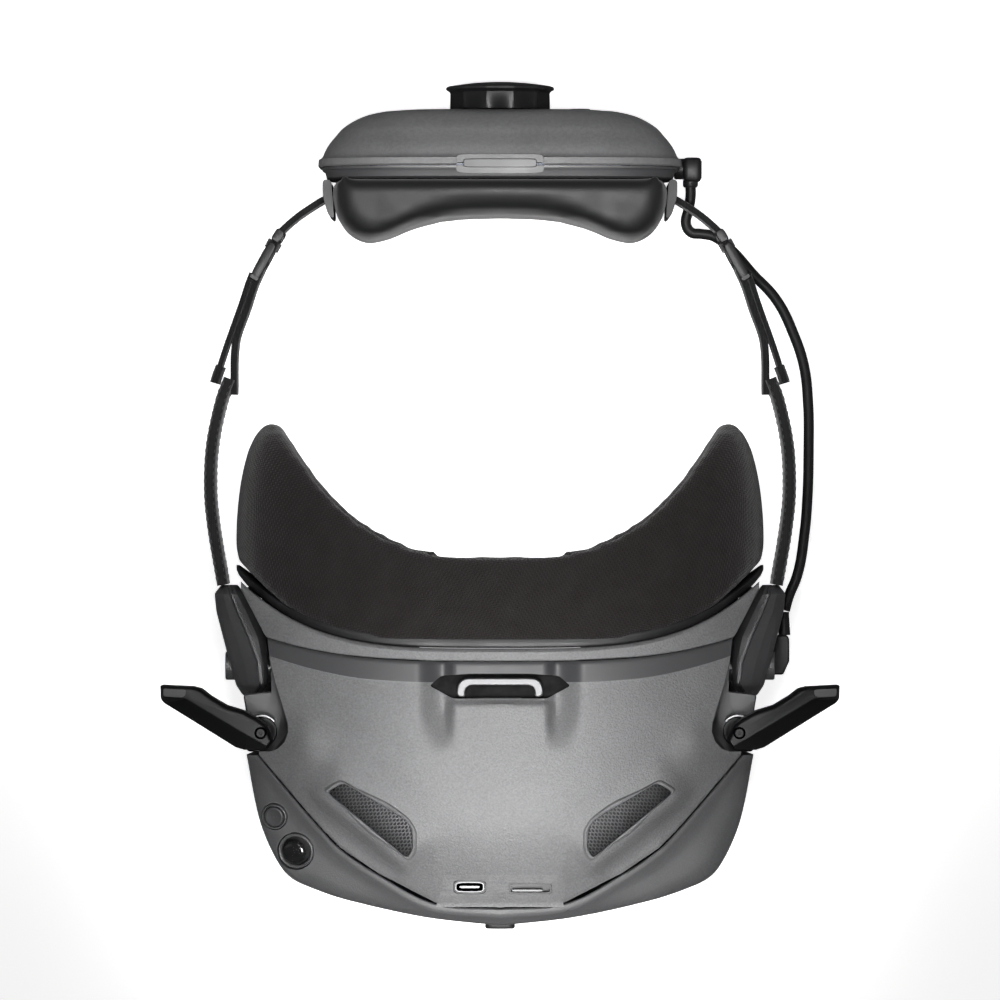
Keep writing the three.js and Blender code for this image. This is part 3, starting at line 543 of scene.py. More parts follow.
webbing_cloth = cloth("webbing_cloth", (0.008, 0.008, 0.0085), 0.9, 0.1, fuzz=0.12, along=0.45)
thread = cloth("thread", (0.035, 0.035, 0.037), 0.3, 0.03, fuzz=0.2)
rubber = plastic("rubber", (0.006, 0.006, 0.0065), 0.55, grain=0.35, depth=0.012, speckle=0.1, edge_highlight=0.15,
                 Specular_IOR_Level=0.25)
hook_metal = metal("hook_metal", (0.14, 0.14, 0.143), 0.5)
aluminium = metal("aluminium", (0.3, 0.303, 0.306), 0.42)
mesh_steel = metal("mesh_steel", (0.07, 0.07, 0.072), 0.5, brushed=(1, 1, 1))
lens_glass = glass("lens_glass", (0.9, 0.94, 0.98))
display_glass = plastic("display_glass", (0.01, 0.012, 0.016), 0.06, grain=3, depth=0.002, edge_highlight=0,
                        Coat_Weight=0.8)
circuit_green = plastic("circuit_green", (0.012, 0.075, 0.04), 0.4, grain=1.2, depth=0.03, speckle=0.35)
cell_wrap = plastic("cell_wrap", (0.02, 0.045, 0.14), 0.3, grain=1.5, depth=0.02, speckle=0.08)

make_camera()
make_studio()


# ---- Power cable ------------------------------------------------------------

CABLE_RADIUS = 1.65
CABLE_ROUTE = [
    (60, 100.2, 18), (60, 96, 18), (59.3, 91.7, 17.6), (58.6, 87.6, 17.2), (60.2, 84.9, 17),
    (63.4, 84.4, 17), (67.4, 83.6, 17), (72.9, 79.3, 17.2), (79.4, 72, 17.8), (87.1, 63.5, 18.8),
    (92.3, 53, 20.2), (95.6, 42.7, 21.8), (96.8, 31.6, 23.6), (96.9, 16, 26.2), (96.4, 0.6, 28.8),
    (95.4, -10.3, 30.6), (93.2, -22.7, 32.8), (90.3, -30, 33.8), (89.2, -34, 34),
]


def route_curve(name, points, radius):
    """A round cable along one smooth open curve."""
    curve = bpy.data.curves.new(name, "CURVE")
    curve.dimensions = "3D"
    curve.bevel_depth = radius * MM
    curve.bevel_resolution = 6
    curve.use_fill_caps = True
    spline = curve.splines.new("BEZIER")
    spline.bezier_points.add(len(points) - 1)
    for knot, point in zip(spline.bezier_points, points):
        knot.co = Vector(point) * MM
        knot.handle_left_type = "AUTO"
        knot.handle_right_type = "AUTO"
    spline.resolution_u = 8
    obj = bpy.data.objects.new(name, curve)
    bpy.context.scene.collection.objects.link(obj)
    return obj


def make_plug():
    """The angled plug, with a collar towards the battery and a sleeve down to the cable."""
    x, y, z = CABLE_ROUTE[0]
    sections = ((0.6, 2, 4), (0.9, 2.6, 4.8), (1.8, 3, 5.2), (7, 3, 5.2), (7.8, 2.6, 4.8), (8.1, 2, 4))
    rings = [
        [(x + 0.5 + a, y + along, z + b) for a, b in rounded_box(half_x, half_z, 5, 32)]
        for along, half_x, half_z in sections
    ]
    body = loft("plug_body", rings)
    sleeve_profile = [(0, -1.2), (2.1, -1.2), (2.4, -0.6), (2.4, 1), (0, 1)]
    sleeve = turned("sleeve", sleeve_profile, (0, 1, 0), (x, y, z), 32)
    collar_profile = [(0, -5.2), (3, -5.2), (3.3, -4.6), (3.3, -2), (0, -2)]
    collar = turned("collar", collar_profile, (1, 0, 0), (x, y + 4.6, z), 32)
    plug = merge("plug_body", [body, sleeve, collar])
    return place(plug, "headband", black, ["power_plug"], sharp=35)


def make_power_cable():
    plug = make_plug()
    cable = place(route_curve("power_cable_line", CABLE_ROUTE, CABLE_RADIUS),
                  "headband", rubber, ["power_cable"])


def make_cable_ends():
    """The strain relief with its grooves, and the clip on the arm that holds it."""
    z = CABLE_ROUTE[-1][2]
    cone = [(1.9 - 0.05 * k, -41.7 + 0.8 * k) for k in range(9)]
    profile = [(0, -41.8), *cone, (1.55, -34.5), (0, -34.4)]
    relief = turned("cable_relief", profile, (0, 1, 0), (89, 0, z), 32)
    grooves = [ring_at(CABLE_RADIUS + 1.2, 0.35, (89, -36 - 1.5 * k, z)) for k in range(3)]
    carve(relief, *grooves)
    place(relief, "headband", rubber, sharp=40)
    outline = [(84.2, -41.8), (89.6, -41.6), (90.5, -42.6), (90.5, -49.8), (88.6, -54.1), (83.2, -54.1)]
    clip = soften(prism("cable_clip_case", outline, z - 3.3, z + 3.3), 0.8, 3)
    place(clip, "headband", black, ["cable_clip"], sharp=40)


def ring_at(radius, half, centre):
    """A small round ring about the Y axis, used to cut grooves."""
    rings = []
    for k in range(32):
        angle = 2 * math.pi * k / 32
        c, s = math.cos(angle), math.sin(angle)
        rings.append([
            (centre[0] + (radius + r) * c, centre[1] + along, centre[2] + (radius + r) * s)
            for r, along in ((-1.2, -half * 0.6), (0.8, -half), (0.8, half), (-1.2, half * 0.6))
        ])
    return loft("groove", rings, closed=True)


make_power_cable()
make_cable_ends()


# ---- The visor's surfaces ---------------------------------------------------

# Round the front, from the side to the centre line: (t, seam x, seam y, outline x, outline y).
FRONT = [
    (0, SHELL_HALF, -77.9, 78.1, -77.9), (0.2, 63.1, -90.9, 74.1, -97.7), (0.28, 58.8, -95.9, 70, -108),
    (0.36, 54.6, -100.6, 65, -115.2), (0.45, 49, -106.3, 57, -119.2), (0.6, 37.5, -114.1, 45, -123),
    (0.8, 19.8, -123.1, 22.6, -127.8), (1, 0, SEAM_FRONT, 0, cover_low.y),
]
SEAM = [(x, y) for _, x, y, _, _ in reversed(FRONT)]
VENT_OUTLINE = [(52.9, -88.9), (47.9, -85.9), (29.4, -96.6), (27, -99.8), (26.6, -106), (28.5, -109)]
VENT_CENTRE = (39.6, -97)
VENT_ALONG = Vector((-0.776, -0.63))
VENT_FORWARD = Vector((0.63, -0.776))
SHELL_THICKNESS = 2.2


def linear(stations, at):
    """Straight lines between stations of (input, value)."""
    for (x0, y0), (x1, y1) in zip(stations, stations[1:]):
        if at <= x1:
            return mix(y0, y1, max(0, (at - x0) / (x1 - x0)))
    return stations[-1][1]


def seam_y(x):
    return linear(SEAM, abs(x))


def seam_z(x):
    """Height of the seam between the top shell and the front cover."""
    return TOP_Z - 10 - 4 * (abs(x) / SHELL_HALF) ** 2


def crown_z(x):
    """Height of the top shell before its relief is added."""
    return TOP_Z - 9 * (abs(x) / 72) ** 2.4


def trim_y(x):
    """Plan curve of the top shell's rear end."""
    return TRIM_Y + 7 * (abs(x) / 71.3) ** 3.3


def frame_y(x):
    """Plan curve of the face frame, which wraps back round the head."""
    return FRAME_Y + 23.2 * (abs(x) / 82.5) ** 3.7


def vent_pod(x, y):
    """The soft rise round a vent, which drops quickly towards the seam."""
    offset = Vector((abs(x) - VENT_CENTRE[0], y - VENT_CENTRE[1]))
    along, forward = abs(offset.dot(VENT_ALONG)), offset.dot(VENT_FORWARD)
    rise = smooth(forward, -13, 3.5) * (1 - smooth(forward, 3.8, 8))
    scoop = smooth(forward, 5, 9.5) * (1 - smooth(forward, 9.5, 15))
    return (2.6 * rise - 1.1 * scoop) * (1 - smooth(along, 15, 22.5))


def shoulder(x, y):
    """The swell beside an antenna pocket and the hollow in front of it."""
    swell = math.exp(-((abs(x) - 60) / 6) ** 2 - ((y + 74) / 7) ** 2)
    hollow = math.exp(-((abs(x) - 61) / 8) ** 2 - ((y + 87) / 6) ** 2)
    return 1.5 * swell - 0.9 * hollow


def spine_valley(x, y):
    """The dip behind the spine's rear end and beside it, which fades towards the front."""
    across = 1 - smooth(abs(x), 17.2, 26)
    behind = smooth(y, -62.2, -60.4)
    beside = smooth(y, -77, -62)
    return across * mix(1.9 * behind, 4.2 * beside, smooth(abs(x), 13.6, 17.2))


def top_height(x, y):
    """The top shell's surface: its crown, its roll to the front seam, and the relief on it."""
    seam, trim = seam_y(x), trim_y(x)
    from_seam = max(0, y - seam)
    roll = min(40, 0.6 * (trim - seam))
    fall = (crown_z(x) - seam_z(x)) * (1 - min(1, from_seam / roll)) ** 2
    crest = 1.9 * (1 - smooth(abs(x), 24, 66)) * smooth(from_seam, 0, 26)
    front_lip = 0.45 * (1 - min(1, from_seam / 0.9)) ** 2
    rear_lip = 0.5 * (1 - min(1, max(0, trim - y) / 1.2)) ** 2
    relief = crest - spine_valley(x, y) + vent_pod(x, y) + shoulder(x, y)
    return crown_z(x) - fall + relief - front_lip - rear_lip


def sided(side, outline):
    return [(side * x, y) for x, y in outline]


def grown(outline, amount):
    """The outline moved outwards from its middle by amount."""
    middle = sum((Vector(p) for p in outline), Vector((0, 0))) / len(outline)
    points = []
    for p in outline:
        away = Vector(p) - middle
        points.append(tuple(middle + away * (1 + amount / away.length)))
    return points


# ---- Top shell --------------------------------------------------------------

POCKET_EDGE = [
    (71.4, -41), (70.6, -48), (68.8, -55.5), (66.6, -62.5), (65.1, -67.6), (64.9, -70.6), (66, -73.6),
    (68.2, -75.8), (70.6, -76.7),
]
SMOOTH_BAND = 6.4                         # width of the untextured band at the top shell's rear
HOOK_RECESS = [(14.4, -60.2), (21.6, -56.3), (18, -53.2), (9, -52.5)]
PORT_Y = -118.4
PORT_X = 9.3


def top_grid(name, front_of, rear_of, count_x=200, count_y=96):
    """Part of the top shell as one closed sheet between two plan curves."""
    size = count_y + 1
    upper, lower = [], []
    for x in steps(-SHELL_HALF, SHELL_HALF, count_x):
        for y in steps(front_of(x), rear_of(x), count_y):
            z = top_height(x, y)
            upper.append((x, y, z))
            lower.append((x, y, z - SHELL_THICKNESS))
    columns = count_x + 1
    under = columns * size
    faces = []
    for i in range(count_x):
        for j in range(count_y):
            a, b = i * size + j, (i + 1) * size + j
            faces.append((a, b, b + 1, a + 1))
            faces.append((under + a, under + a + 1, under + b + 1, under + b))
        for j in (0, count_y):
            a, b = i * size + j, (i + 1) * size + j
            faces.append((a, b, under + b, under + a))
    for j in range(count_y):
        for i in (0, count_x):
            a = i * size + j
            faces.append((a, a + 1, under + a + 1, under + a))
    return mesh_object(name, upper + lower, faces)


def port_region(name, inset, low, high):
    """The shallow port panel, widening to the front seam, between two depths under the surface."""
    rings = []
    for y in steps(-114.2 - inset, SEAM_FRONT + (0.3 if inset else -1), 12):
        half = mix(17.7, 19.8, smooth(y, -117, SEAM_FRONT)) - inset
        z = top_height(0, max(y, SEAM_FRONT + 1))
        rings.append([(-half, y, z + low), (half, y, z + low), (half, y, z + high), (-half, y, z + high)])
    return loft(name, rings)


def corner_arc(outline, i, radius, most, count):
    """Points round one corner of an outline; the arc takes at most 1 / most of each side."""
    here = Vector(outline[i])
    ends = []
    for k in (i - 1, (i + 1) % len(outline)):
        side = Vector(outline[k]) - here
        ends.append(here + side.normalized() * min(radius, side.length / most))
    enter, leave = ends
    return [tuple(enter * (1 - t) ** 2 + here * 2 * t * (1 - t) + leave * t**2) for t in steps(0, 1, count)]


def dense_corners(outline, radius):
    """The outline with each corner rounded."""
    return [point for i in range(len(outline)) for point in corner_arc(outline, i, radius, 2.05, 6)]


def dense(outline, spacing):
    """The outline with its corners rounded a little and more points along its sides."""
    arcs = [corner_arc(outline, i, 1.4, 2.2, 4) for i in range(len(outline))]
    points = []
    for arc, following in zip(arcs, arcs[1:] + arcs[:1]):
        leave, stop = Vector(arc[-1]), Vector(following[0])
        gaps = max(1, round((stop - leave).length / spacing))
        points += arc + [tuple(leave.lerp(stop, k / gaps)) for k in range(1, gaps)]
    return points


def tube(name, half_width, half_depth, centre, low, high, power=5, count=40):
    """An upright bar with rounded corners in plan."""
    outline = [(centre[0] + x, centre[1] + y) for x, y in rounded_box(half_width, half_depth, power, count)]
    return prism(name, outline, low, high)


def vent_rim(side):
    """A raised bead round the vent."""
    outline = dense(VENT_OUTLINE, 2.0)
    bead = ((0, -1.8), (0, 0.5), (0.2, 0.85), (0.7, 1.0), (1.15, 0.8), (1.5, 0.25), (1.7, -0.4), (0.9, -1.8))
    around = [grown(outline, out) for out, _ in bead]
    rings = []
    for k, _ in enumerate(outline):
        ring = []
        for edge, (_, up) in zip(around, bead):
            x, y = edge[k]
            ring.append((side * x, y, top_height(x, y) + up))
        rings.append(ring)
    return loft("vent_rim", rings, closed=True)


def band_start(x):
    """Plan curve where the untextured band at the rear begins."""
    return trim_y(x) - SMOOTH_BAND + 1.2 * smooth(abs(x), 40, 72)


def pocket_cutter(side):
    return prism("pocket_cut", sided(side, [(90, -41), *POCKET_EDGE, (90, -76.7)]), 60, 110)


def make_top_shell():
    shell = top_grid("top_cover", lambda x: seam_y(x) + 0.15, lambda x: band_start(x) - 0.02)
    cutters = [port_region("panel_cut", 0, -0.75, 5), port_region("panel_cut", 0.4, -9, 0), hook_cutter()]
    for side, _ in SIDES:
        cutters.append(prism("vent_cut", sided(side, dense(VENT_OUTLINE, 4)), 78, 110))
        cutters.append(pocket_cutter(side))
    carve(shell, *cutters)
    shell = merge("top_cover", [shell, vent_rim(1), vent_rim(-1)])
    place(shell, "visor", textured_grey, ["top_shell"], sharp=35)
    band = top_grid("top_cover_band", lambda x: band_start(x) + 0.02, trim_y, 180, 14)
    carve(band, hook_cutter(), pocket_cutter(1), pocket_cutter(-1))
    place(band, "visor", shell_grey, sharp=35)


def hook_cutter():
    recess = HOOK_RECESS + [(-x, y) for x, y in reversed(HOOK_RECESS)]
    return prism("hook_cut", dense_corners(recess, 0.9), TOP_Z - 8, TOP_Z + 8)


def make_grille(side, name):
    """A perforated metal sheet under the vent: staggered rows of small hexagonal holes."""
    half_u, half_v, hole = 0.42, 0.75, 0.395
    around = [(-1, -1), (0, -1), (1, -1), (1, 0), (1, 1), (0, 1), (-1, 1), (-1, 0)]
    points, faces = [], []
    for column in range(-22, 23):
        for row in range(-7, 7):
            cu = column * 2 * half_u
            cv = row * 2 * half_v + (half_v if column % 2 else 0) - 2
            start = len(points)
            for depth in (-0.5, -1.0):
                for scale in (None, hole):
                    for u, v in around:
                        angle = math.atan2(v * half_v, u * half_u)
                        du = u * half_u if scale is None else scale * math.cos(angle)
                        dv = v * half_v if scale is None else 1.55 * scale * math.sin(angle)
                        spot = Vector(VENT_CENTRE) + (cu + du) * VENT_ALONG + (cv + dv) * VENT_FORWARD
                        points.append((side * spot.x, spot.y, top_height(spot.x, spot.y) + depth))
            for k in range(8):
                n = (k + 1) % 8
                faces.append((start + k, start + n, start + 8 + n, start + 8 + k))
                faces.append((start + 16 + k, start + 24 + k, start + 24 + n, start + 16 + n))
                faces.append((start + 8 + k, start + 8 + n, start + 24 + n, start + 24 + k))
    mesh = mesh_object(f"grille_{name}", points, faces)
    keep = dense(grown(VENT_OUTLINE, 0.3), 4)
    work = bmesh.new()
    work.from_mesh(mesh.data)
    middles = [(f, f.calc_center_median() / MM) for f in work.faces]
    outside = [f for f, middle in middles if not inside(keep, abs(middle.x), middle.y)]
    bmesh.ops.delete(work, geom=outside, context="FACES")
    work.to_mesh(mesh.data)
    work.free()
    place(mesh, "visor", mesh_steel, [f"vent_grille_{name}"], sharp=35)


def inside(outline, x, y):
    """Whether a point lies in an outline."""
    odd = False
    for (x0, y0), (x1, y1) in zip(outline, outline[1:] + outline[:1]):
        if (y0 > y) != (y1 > y) and x < mix(x0, x1, (y - y0) / (y1 - y0)):
            odd = not odd
    return odd


def make_vent_wells():
    """The dark throat under each grille."""
    for side, name in SIDES:
        outline = sided(side, dense(grown(VENT_OUTLINE, 0.6), 4))
        rings = [[(x, y, top_height(x, y) + z) for x, y in outline] for z in (-3.4, -2.3)]
        well = loft(f"vent_well_{name}", rings)
        place(well, "visor", black, sharp=30)


make_top_shell()
for vent_side, vent_name in SIDES:
    make_grille(vent_side, vent_name)
make_vent_wells()


# ---- Front cover ------------------------------------------------------------

FACET_TILT = math.radians(18)
FACET_HEADING = math.radians(221)
FACET_AXIS = Vector((
    math.cos(FACET_HEADING) * math.sin(FACET_TILT),
    math.sin(FACET_HEADING) * math.sin(FACET_TILT),
    math.cos(FACET_TILT),
))
FACET_TURN = Vector((0, 0, 1)).rotation_difference(FACET_AXIS)
BUTTON_CENTRE = Vector((-69.4, -96.8, 81.6))
STICK_CENTRE = Vector((-62.7, -107.3, 81.4))


def cover_section(t, seam, outline):
    """One section of the front cover: out from the seam, down the front and back up inside."""
    reach = (outline - seam).length
    top = seam_z(seam.x)
    edge = top - 4.5 + 0.5 * t
    band = min(mix(1.7, 2.9, t), reach * 0.5)
    crease = band + min(0.5, reach * 0.1)
    lean = 0.35 * t
    return [
        (0.3, top - 2), (0.35, top - 0.55), (0.75, top - 0.2), (band * 0.6, top - 0.35), (band, top - 0.6),
        (crease, top - 1.15), (mix(crease, reach, 0.3), mix(top - 1.15, edge + 0.5, 0.3) - lean),
        (mix(crease, reach, 0.6), mix(top - 1.15, edge + 0.5, 0.6) - lean), (reach - 1.1, edge + 0.45),
        (reach - 0.55, edge), (reach - 0.15, edge - 0.9), (reach, edge - 2.2), (reach, edge - 9),
        (reach - 0.15, 66), (reach - 0.4, 60), (reach - 0.9, 50), (reach - 1.6, 40), (reach - 2.7, 31),
        (reach - 3.9, SPLIT_Z + 0.5), (reach - 4.6, SPLIT_Z), (reach - 6.2, SPLIT_Z), (reach - 4.6, 33),
        (reach - 3.2, 50), (reach - 2.4, 70), (reach - 2.4, edge - 3), (min(reach - 2.4, 0.3), top - 3.2),
    ]


def make_front_cover():
    """A shell in one piece from one side of the visor round to the other."""
    half = []
    for t in steps(0, 1, 84):
        sx, sy, ox, oy = through(FRONT, t)
        half.append((t, Vector((max(0, sx), sy)), Vector((max(0, ox), oy))))
    rings = []
    for side, stations in ((1, half), (-1, half[-2::-1])):
        for t, seam, outline in stations:
            away = (outline - seam).normalized()
            section = cover_section(t, seam, outline)
            rings.append([
                (side * (seam.x + away.x * out), seam.y + away.y * out, z) for out, z in section
            ])
    cover = loft("front_shell", rings)
    cutters = []
    for centre, radius in ((BUTTON_CENTRE, 4.2), (STICK_CENTRE, 5.8)):
        profile = [(0, -7), (radius, -7), (radius, 5), (0, 5)]
        cutters.append(turned("control_cut", profile, FACET_AXIS, centre, 48))
    cutters.append(prism("window_cut", [(-5, -135), (5, -135), (5, -128.5), (-5, -128.5)], 74.4, 79.6))
    carve(cover, *cutters)
    # The cover's darker grey is painted shade for its steep front.
    place(cover, "visor", front_shaded_grey, ["front_cover"], sharp=38)


def make_window():
    """The sensor window under the front edge, on the centre line."""
    half_x, half_z, middle_z = 4.6, 2.3, 77
    rings = []
    for y, grow in ((-128.8, 0), (-130.9, 0), (-131.35, -0.25), (-131.45, -0.8)):
        rings.append([
            (x * (1 + grow / half_x), y, middle_z + z * (1 + grow / half_z))
            for x, z in rounded_box(half_x, half_z, 4, 40)
        ])
    place(loft("sensor_window", rings), "visor", black, ["front_window"], sharp=40)


def make_back_button():
    """The round button, with three dots across its middle, in its ring."""
    ring_profile = [
        (3.35, -3.6), (3.9, -3.6), (3.9, 0.1), (3.8, 0.4), (3.6, 0.5), (3.4, 0.35), (3.35, 0), (3.35, -3.6),
    ]
    ring = turned("back_button_bezel", ring_profile, FACET_AXIS, BUTTON_CENTRE, 72)
    place(ring, "visor", satin_grey, ["back_button_ring"], sharp=40)
    profile = [
        (0, -1.9), (3, -1.9), (3.1, -1.7), (3.1, 0.35), (2.98, 0.62), (2.75, 0.78), (2.3, 0.74),
        (1.6, 0.62), (0, 0.55),
    ]
    cap = turned("back_button_cap", profile, FACET_AXIS, BUTTON_CENTRE, 72)
    marks = []
    for along in (-0.9, 0, 0.9):
        centre = BUTTON_CENTRE + FACET_TURN @ Vector((along, 0, 0.62))
        marks.append(turned("dot", [(0, -0.3), (0.25, -0.3), (0.2, 0.12), (0, 0.16)], FACET_AXIS, centre, 12))
    cap = merge("back_button_cap", [cap, *marks])
    place(cap, "back_button", dark_grey, ["back_button"], sharp=40)


def make_joystick():
    """The stick's ribbed and dotted cap, in its collar and well."""
    collar = [
        (4.55, -2.6), (5.5, -2.6), (5.5, 0), (5.4, 0.35), (5.1, 0.5), (4.8, 0.4), (4.6, 0.1), (4.5, -0.6),
        (4.55, -2.6),
    ]
    place(turned("joystick_collar", collar, FACET_AXIS, STICK_CENTRE, 80), "visor", satin_grey,
          ["joystick_bezel"], sharp=40)
    floor = [(1.7, -2.2), (4.5, -2.2), (4.5, -1.7), (2.2, -1.35), (1.7, -1.5), (1.7, -2.2)]
    well = turned("joystick_well", floor, FACET_AXIS, STICK_CENTRE, 64)
    place(well, "visor", black, sharp=30)
    cap = [
        (0, 0.2), (2, 0.2), (2.6, 0.55), (3.3, 1.25), (3.42, 1.5), (3.42, 2.1), (3.3, 2.4), (2.9, 2.65),
        (2, 2.8), (1, 2.72), (0, 2.68),
    ]
    solids = [turned("joystick_pad", cap, FACET_AXIS, STICK_CENTRE, 72)]
    dot = [(0, -0.2), (0.24, -0.2), (0.18, 0.14), (0, 0.2)]
    for radius, count, high in ((0, 1, 2.66), (0.85, 6, 2.72), (1.65, 12, 2.78), (2.45, 18, 2.72)):
        for k in range(count):
            angle = 2 * math.pi * k / count
            on_cap = Vector((radius * math.cos(angle), radius * math.sin(angle), high))
            centre = STICK_CENTRE + FACET_TURN @ on_cap
            solids.append(turned("dot", dot, FACET_AXIS, centre, 10))
    for k in range(24):
        angle = 2 * math.pi * (k + 0.5) / 24
        centre = STICK_CENTRE + FACET_TURN @ Vector((3.42 * math.cos(angle), 3.42 * math.sin(angle), 1.3))
        solids.append(turned("rib", [(0, 0), (0.14, 0), (0.14, 0.8), (0, 0.95)], FACET_AXIS, centre, 8))
    pad = merge("joystick_pad", solids)
    place(pad, "joystick_cap", gloss_black, ["joystick_cap"], sharp=45)


# ---- Ports ------------------------------------------------------------------

def make_ports():
    """The port panel, with the USB-C socket and the memory card slot let into it."""
    panel = port_region("port_panel", 0.18, -2.4, -0.72)
    z = top_height(0, PORT_Y) - 0.72
    usb, card_slot = (-PORT_X, PORT_Y + 0.3), (PORT_X, PORT_Y - 0.2)
    carve(panel, tube("usb_cut", 5, 2.2, usb, z - 8, z + 4),
          tube("card_cut", 6.6, 1.6, card_slot, z - 8, z + 4, 8))
    place(soften(panel, 0.12, 2), "visor", textured_grey, ["port_plate"], sharp=35)
    layers = (
        ("usb_surround", 4.9, 2.1, 4.45, 1.65, -0.1, black, "black_plastic"),
        ("usb_shell", 4.4, 1.6, 4.12, 1.32, -0.35, hook_metal, "aluminium"),
    )
    for name, half_x, half_y, inner_x, inner_y, top, material, slot in layers:
        ring = tube(name, half_x, half_y, usb, z - 5, z + top, 4)
        carve(ring, tube("bore", inner_x, inner_y, usb, z - 4.5, z + 2, 4))
        node = ["usb_socket"] if name == "usb_shell" else []
        place(ring, "visor", material, node, sharp=40)
    tongue = soften(tube("usb_tongue", 3.1, 0.38, usb, z - 4.6, z - 0.9, 6), 0.08)
    place(tongue, "visor", satin_grey, sharp=40)
    slot_frame = tube("card_frame", 6.5, 1.5, card_slot, z - 4, z - 0.15, 8)
    carve(slot_frame, tube("bore", 6.1, 1.15, card_slot, z - 3.5, z + 2, 8))
    place(slot_frame, "visor", black, ["card_socket"], sharp=40)
    card = soften(tube("card_tab", 4.6, 0.3, (PORT_X - 0.9, PORT_Y - 0.75), z - 3.4, z - 0.5, 8, 32), 0.08)
    place(card, "visor", smooth_grey, sharp=40)


# ---- Strap hook -------------------------------------------------------------

def make_hook():
    """The metal loop standing in the recess at the rear of the top shell, and the recess's floor, near-black
    as painted shade.
    """
    corner = [(13.2, -59.6), (13.2, -57), (12.6, -55.2), (11.2, -54.1), (9.6, -53.8)]
    outline = [(-x, y) for x, y in corner] + corner[::-1]
    high = TOP_Z + 1
    hook = prism("hook_loop", dense_corners(outline, 1.6), high - 3.4, high)
    slot = [(-10.6, -62), (-10.6, -57.4), (-9.4, -56.1), (9.4, -56.1), (10.6, -57.4), (10.6, -62)]
    carve(hook, prism("slot", dense_corners(slot, 1.2), high - 8, high + 4))
    place(soften(hook, 0.7, 3, 40), "visor", hook_metal, ["strap_hook"], sharp=50)
    # The recess's floor is near-black: painted shade in the recess.
    floor_outline = [(-23, -60.8), (23, -60.8), (23, -55), (18, -52), (-18, -52), (-23, -55)]
    floor = prism("hook_well", dense_corners(floor_outline, 1), TOP_Z - 3.5, TOP_Z - 3)
    place(soften(floor, 0.1, 1), "visor", painted_shade_black, sharp=40)


# ---- Face frame, trim and pad -----------------------------------------------

def make_trim():
    """The strip between the top shell and the pad, which widens and drops at the temples."""
    rings = []
    for x in steps(-79.6, 79.6, 180):
        rear = frame_y(x) - 0.15
        front = min(max(trim_y(x) + 0.25, -42 + 1.9 * (abs(x) - 71.6)), rear - 0.8)
        wide = rear - front
        z = crown_z(x) - 0.3 - 1.2 * smooth(abs(x), 60, 80)
        chamfer = min(1.1, wide * 0.35)
        rings.append([
            (x, front, z - 3), (x, front, z - 0.3), (x, front + 0.25, z),
            (x, mix(front, rear - chamfer, 0.5), z + 0.35), (x, rear - chamfer, z + 0.3),
            (x, rear - chamfer * 0.3, z - 0.2), (x, rear, z - 0.8), (x, rear, z - 3),
        ])
    place(loft("brow_trim", rings), "visor", textured_grey, ["frame_trim"], sharp=30)


def make_side_cheeks():
    """The dark ledge under each antenna pocket, between the arm and the front cover."""
    outline = [(70, -58.5), (79.4, -59.5), (78.6, -64), (78.3, -77.2), (70, -77.2)]
    for side, name in SIDES:
        plan = sided(side, dense_corners(outline, 1.2))
        cheek = prism(f"side_cheek_{name}", plan, POCKET_Z - 6, POCKET_Z - 0.6)
        place(soften(cheek, 0.5, 3), "visor", smooth_grey, sharp=40)


def bottom_outline(inset, z):
    """The plan of the bottom shell, moved in by inset: the front, then the rear along the face."""
    half = []
    for t in steps(0, 1, 60):
        seam_x, seam, out_x, out_y = through(FRONT, t)
        inward = Vector((seam_x - out_x, seam - out_y)).normalized() * inset
        half.append((max(0, out_x + inward.x), out_y + inward.y))
    rear = [(x, frame_y(x) - 0.5 - max(0, inset - 5) * 0.4) for x in steps(-79 + inset, 79 - inset, 60)]
    return [(x, y, z) for x, y in half + [(-x, y) for x, y in half[-2::-1]] + rear]


def make_bottom_shell():
    """The tray that closes the visor below, with its nose arch and its air slots."""
    walls = [
        (11.6, 2.8), (9, 5), (7.4, 10), (6.3, SPLIT_Z - 1), (6, SPLIT_Z - 0.5), (4.3, SPLIT_Z - 0.5),
        (4, SPLIT_Z - 0.9), (4.2, 17), (4.6, 12), (5.2, 8.6), (6, 6), (7, 4), (8.3, 2.3), (9.5, 1.2),
        (10.8, 0.5), (12, 0.12), (13.2, 0),
    ]
    tray = loft("lower_tray", [bottom_outline(inset, z) for inset, z in walls])
    arch = [(-29, -12), (-25, 11), (-17, 27), (-9.1, 36), (0, 39), (9.1, 36), (17, 27), (25, 11), (29, -12)]
    gap = loft("gap", [[(x, y, z) for x, z in arch] for y in (-62, 10)])
    slots = [
        tube("slot", 5.5, 1, (side * 24, -82 - 5 * row), -1, 1.4, 6, 24)
        for side in (-1, 1) for row in range(5)
    ]
    screw = [(0, -1), (2.3, -1), (2.3, 0.9), (0, 0.9)]
    screws = [turned("screw", screw, (0, 0, 1), (x, y, 0), 32) for x in (-50, 50) for y in (-58, -94)]
    carve(tray, gap, *slots, *screws)
    place(tray, "visor", shell_grey, ["bottom_shell"], sharp=35)


make_front_cover()
make_side_cheeks()
make_bottom_shell()
make_window()
make_back_button()
make_joystick()
make_ports()
make_hook()
make_trim()


# ---- Face pad and frame -----------------------------------------------------

FACE_HALF = 69.8                         # half width of the pad's edge against the face
NOSE_RISE = 32                           # how far the face opening climbs over the nose
NOSE_SPREAD = 20
PUFF_FRAMES = 20


def face_y(x):
    """Plan curve of the pad's edge against the face."""
    return -17.6 + 42 * (abs(x) / FACE_HALF) ** 2.9


